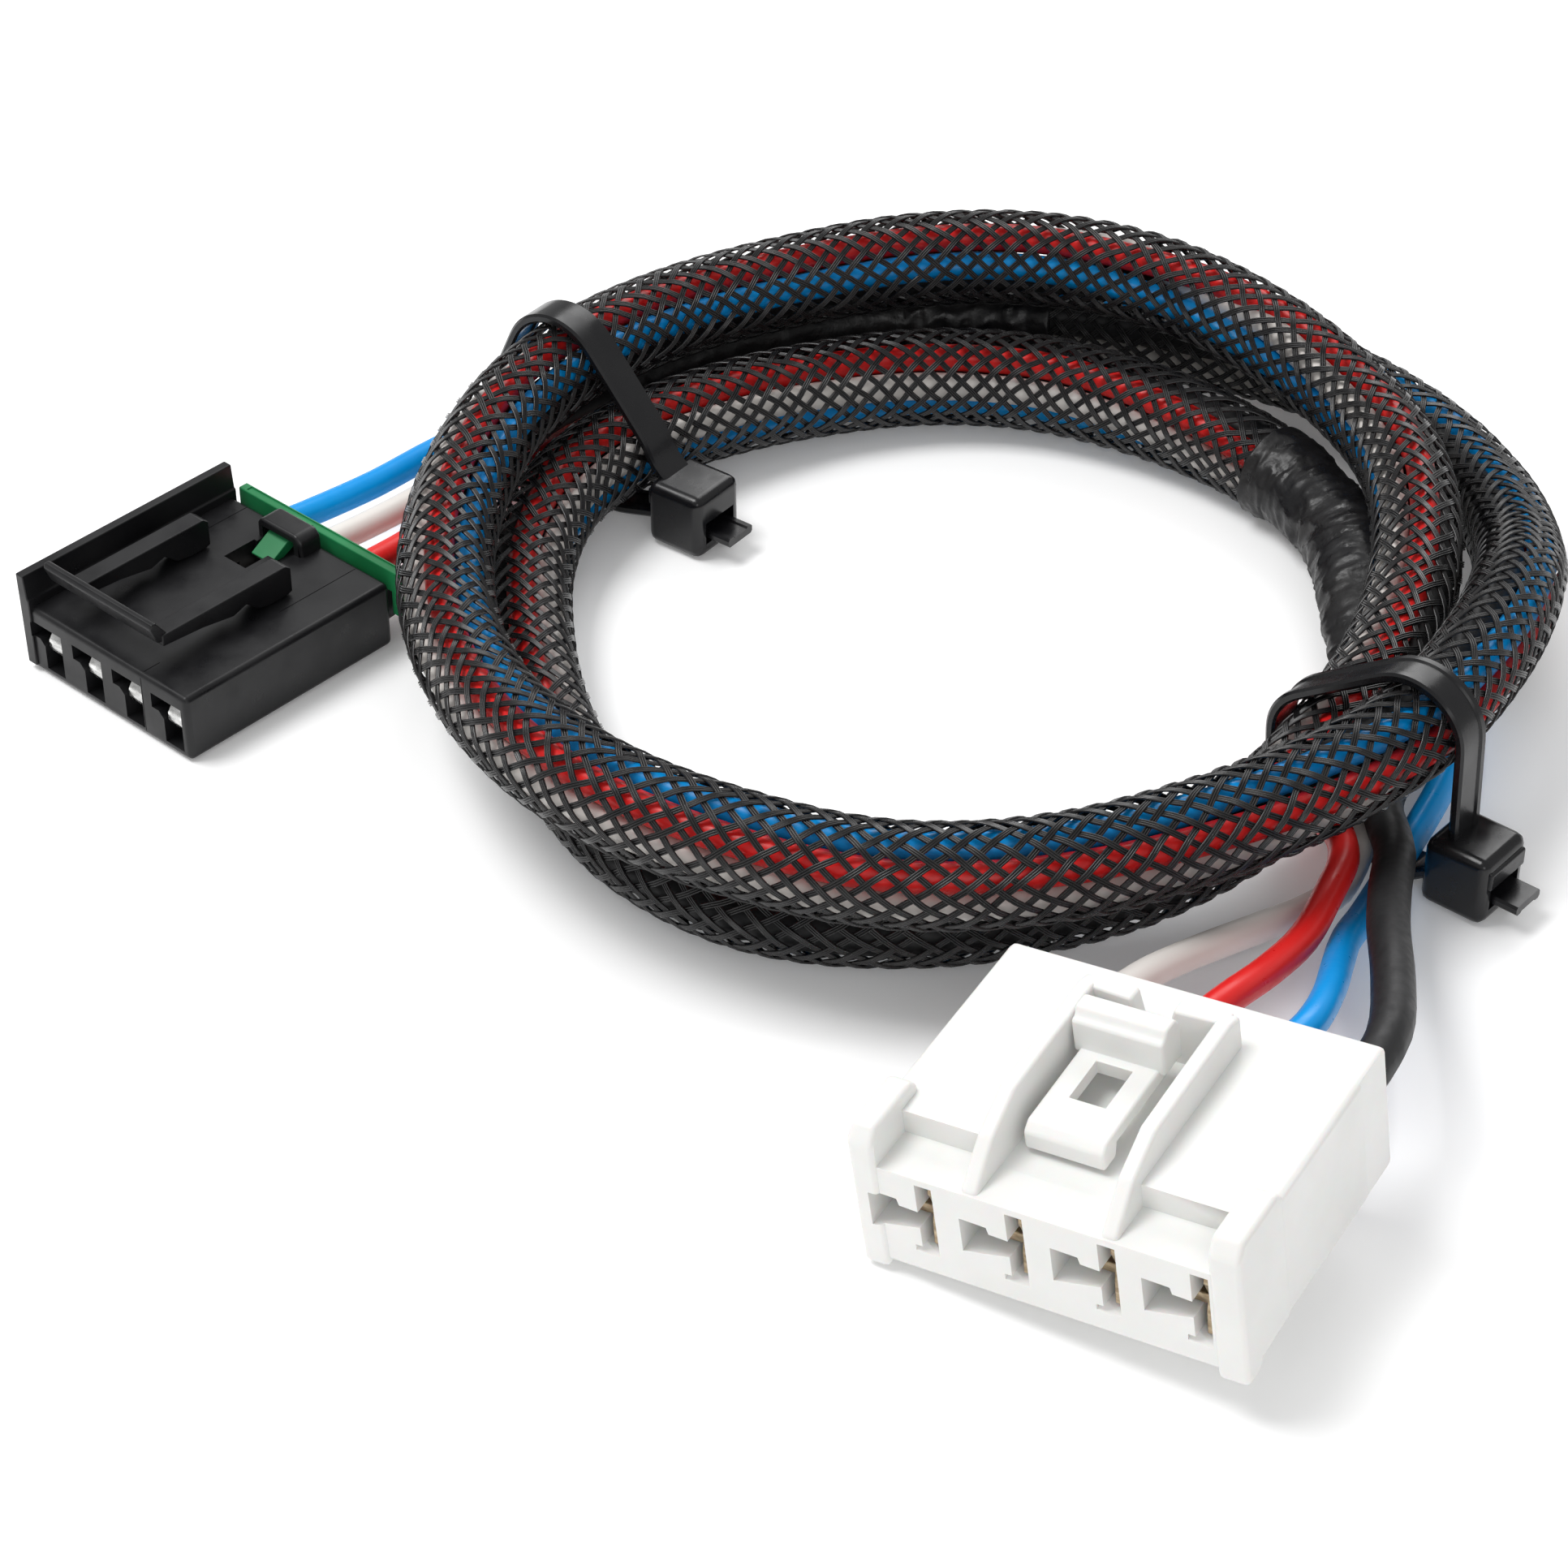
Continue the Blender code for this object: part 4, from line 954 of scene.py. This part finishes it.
def tapeTube(name, keys, crinkle, seed):
    first, last = keys[0][0], keys[-1][0]
    count = max(tape["fewestRings"], int(abs(last - first) * tape["ringsPerDegree"]))
    rings = []
    for i in range(count + 1):
        angle, distance, high, halfWide, halfHigh = straightKey(keys, (len(keys) - 1) * i / count)
        turn = math.radians(angle)
        outward = Vector((math.cos(turn), math.sin(turn), 0.0))
        middle = outward * distance + Vector((0.0, 0.0, high))
        along = abs(angle - first) * tape["perDegree"]
        ring = []
        for j in range(tape["around"]):
            lie = 2 * math.pi * j / tape["around"]
            out = Vector((math.cos(lie) * halfWide, math.sin(lie) * halfHigh, 0.0))
            scale = 1.0 + tapeGrowth(along, lie, crinkle, seed) / halfWide
            spot = middle + (outward * out.x + Vector((0.0, 0.0, out.y))) * scale
            spot.z = max(spot.z, tape["floorGap"])  # never under the floor
            ring.append(spot)
        rings.append(ring)
    inner, outer = tape["endSteps"]
    rings = ([shrunk(rings[0], inner), shrunk(rings[0], outer)] + rings
             + [shrunk(rings[-1], outer), shrunk(rings[-1], inner)])
    mesh = skinMesh(name, [[fromCoil(p) for p in ring] for ring in rings])
    mesh.shade_smooth()
    mesh.materials.append(vinyl)
    return addPiece(name, mesh)


print("tape")
vinyl = vinylTape()
finish(tapeTube("tapeBlackEnd", tape["blackEnd"], tape["crinkle"], seed=1.0), "harness", "tape",
       "tape_wrap_black_end")
finish(tapeTube("wrapBlackEnd", tape["wrap"], tape["wrapCrinkle"], seed=5.0), "harness", "tape",
       "bundle_wrap_black_end")
finish(tapeTube("tapeWhiteEnd", tape["whiteEnd"], tape["crinkle"], seed=9.0), "harness", "tape",
       "tape_wrap_white_end", "bundle_wrap_white_end")

# Two cable ties. The head is across the coil, along it and up; x is outwards from the coil's middle
ties = {
    "width": 4.7,
    "thick": 1.2,
    "slack": 0.5,
    "head": (8.2, 8.4, 8.6),
    "headRoundness": 1.25,
    "slotHeight": 3.0,
    "slot": (-2.75, 2.75, 1.9, 4.9),
    "slotPast": 3.0,
    "catch": (-1.0, 1.8, -2.0, 2.0, 3.4, 5.4, 0.2),
    "lip": (-1.0, 0.35, -3.4, 3.4, 4.9, 7.2, 0.3),
    "stub": 3.2,
    "start": (-1.6, -1.4),  # where the strap leaves the head, from its middle and its top
    "wrapDegrees": range(14, 289, 4),
    "floorGap": 0.04,
    "slotEntry": 0.4,
    "pitch": 0.8,  # between places on the strap
    "smoothings": 5,
    # the strap's section: half its edge, its rounded corners, and a rail along each side
    "edge": 0.3,
    "corner": 0.25,
    "rail": (0.9, 1.1),
    "railDepth": 0.22,
    # coil angle, head side (1 outside, -1 inside), head distance, and each held strand's distance,
    # height and radius
    "one": (143.0, -1, 41.4, [(61.2, 17.7, 5.95), (53.1, 8.1, 6.0), (71.4, 5.6, 1.65), (67.8, 3.3, 1.65)]),
    "two": (-40.5, 1, 70.4, [(61.5, 19.2, 5.8), (51.0, 12.0, 5.7), (63.1, 3.4, 1.65), (47.6, 3.4, 1.65)]),
}


def strapLine(side, headDistance, held):
    reach = ties["slack"] + ties["thick"] / 2
    lowest = ties["thick"] / 2 + ties["floorGap"]
    rings = [(side * distance, height, radius + reach) for distance, height, radius in held]
    line = [(side * headDistance + ties["start"][0], ties["head"][2] + ties["start"][1])]
    for degrees in ties["wrapDegrees"]:
        turn = math.radians(degrees)
        # the strand that reaches furthest this way carries the strap here
        x, z, radius = max(rings, key=lambda r: r[0] * math.cos(turn) + r[1] * math.sin(turn) + r[2])
        line.append((x + radius * math.cos(turn), max(z + radius * math.sin(turn), lowest)))
    line.append((side * headDistance - ties["head"][0] / 2 + ties["slotEntry"], ties["slotHeight"]))
    line.append((side * headDistance + ties["head"][0] / 2 + ties["stub"], ties["slotHeight"]))
    keys = [Vector((side * x, 0.0, z)) for x, z in line]
    fine = []
    for a, b in zip(keys, keys[1:]):
        parts = max(1, round((b - a).length / ties["pitch"]))
        fine += [a.lerp(b, i / parts) for i in range(parts)]
    fine.append(keys[-1])
    for _ in range(ties["smoothings"]):
        fine = [fine[0]] + [(a + 2 * b + c) / 4 for a, b, c in zip(fine, fine[1:], fine[2:])] + [fine[-1]]
    return fine


def strapMesh(line):
    # a flat strap with rounded edges and two raised rails
    half, thick, edge = ties["width"] / 2, ties["thick"] / 2, ties["edge"]
    flat = half - ties["corner"]
    railOut, railIn = half - ties["rail"][0], half - ties["rail"][1]
    low = thick - ties["railDepth"]
    section = [(-half, -edge), (-flat, -thick), (flat, -thick), (half, -edge), (half, edge), (flat, thick),
               (railOut, thick), (railIn, low), (-railIn, low), (-railOut, thick), (-flat, thick),
               (-half, edge)]
    rings = []
    for i, spot in enumerate(line):
        ahead = (line[min(i + 1, len(line) - 1)] - line[max(i - 1, 0)]).normalized()
        out = Vector((0.0, 1.0, 0.0)).cross(ahead)
        rings.append([spot + Vector((0.0, a, 0.0)) + out * b for a, b in section])
    return skinMesh("strap", rings)


def cableTie(name, angle, side, headDistance, held):
    # modelled in millimetres along the coil's x axis, then turned to its angle
    wide, deep, high = ties["head"]
    near, far = headDistance - wide / 2, headDistance + wide / 2
    head = blockMesh(near, far, -deep / 2, deep / 2, 0.0, high, ties["headRoundness"])
    slot = blockMesh(near - ties["slotPast"], far + ties["slotPast"], *ties["slot"])
    catch = blockMesh(*beside(headDistance, ties["catch"]), *ties["catch"][2:])
    lip = blockMesh(*beside(far, ties["lip"]), *ties["lip"][2:])
    strap = strapMesh(strapLine(side, headDistance, held))
    piece = moulding(name, None, tieNylon, head, cut(slot) + join(catch, lip, strap), 0.0)
    turn = Matrix.Rotation(math.radians(angle), 4, "Z")
    piece.data.transform(Matrix.Translation(fromCoil((0, 0, 0))) @ turn)
    return piece


print("cable ties")
tieNylon = nylon("tieNylon", (0.004, 0.004, 0.005), (0.009, 0.009, 0.010), 0.22, 900, Specular_IOR_Level=0.38)
finish(cableTie("cableTieOne", *ties["one"]), "harness", "tie_nylon", "cable_tie_1")
finish(cableTie("cableTieTwo", *ties["two"]), "harness", "tie_nylon", "cable_tie_2")

# Floor and light

def makeStudio():
    bm = bmesh.new()
    bmesh.ops.create_grid(bm, x_segments=1, y_segments=1, size=studio["floorReach"])
    bmesh.ops.translate(bm, verts=bm.verts, vec=(0.0, 0.0, -studio["floorDrop"]))
    mesh = bpy.data.meshes.new("floor")
    bm.to_mesh(mesh)
    bm.free()
    floor = addPiece("floor", mesh)
    mat, _, _ = newMaterial("floorPaper", studio["floorColour"], studio["floorRoughness"],
                            Emission_Color=(1.0, 1.0, 1.0, 1.0), Emission_Strength=studio["floorGlow"])
    mesh.materials.append(mat)
    world = bpy.data.worlds.new("studio")
    world.use_nodes = True
    world.node_tree.nodes["Background"].inputs[0].default_value = (1.0, 1.0, 1.0, 1.0)
    world.node_tree.nodes["Background"].inputs[1].default_value = studio["worldLight"]
    bpy.context.scene.world = world
    bpy.context.scene.view_settings.view_transform = "Standard"
    for name, place, size, power in studio["lamps"]:
        data = bpy.data.lights.new(name, "AREA")
        data.size = size
        data.energy = power
        lamp = addPiece(name, data)
        lamp.location = place
        lamp.rotation_euler = (-Vector(place)).to_track_quat("-Z", "Y").to_euler()


print("studio")
makeStudio()
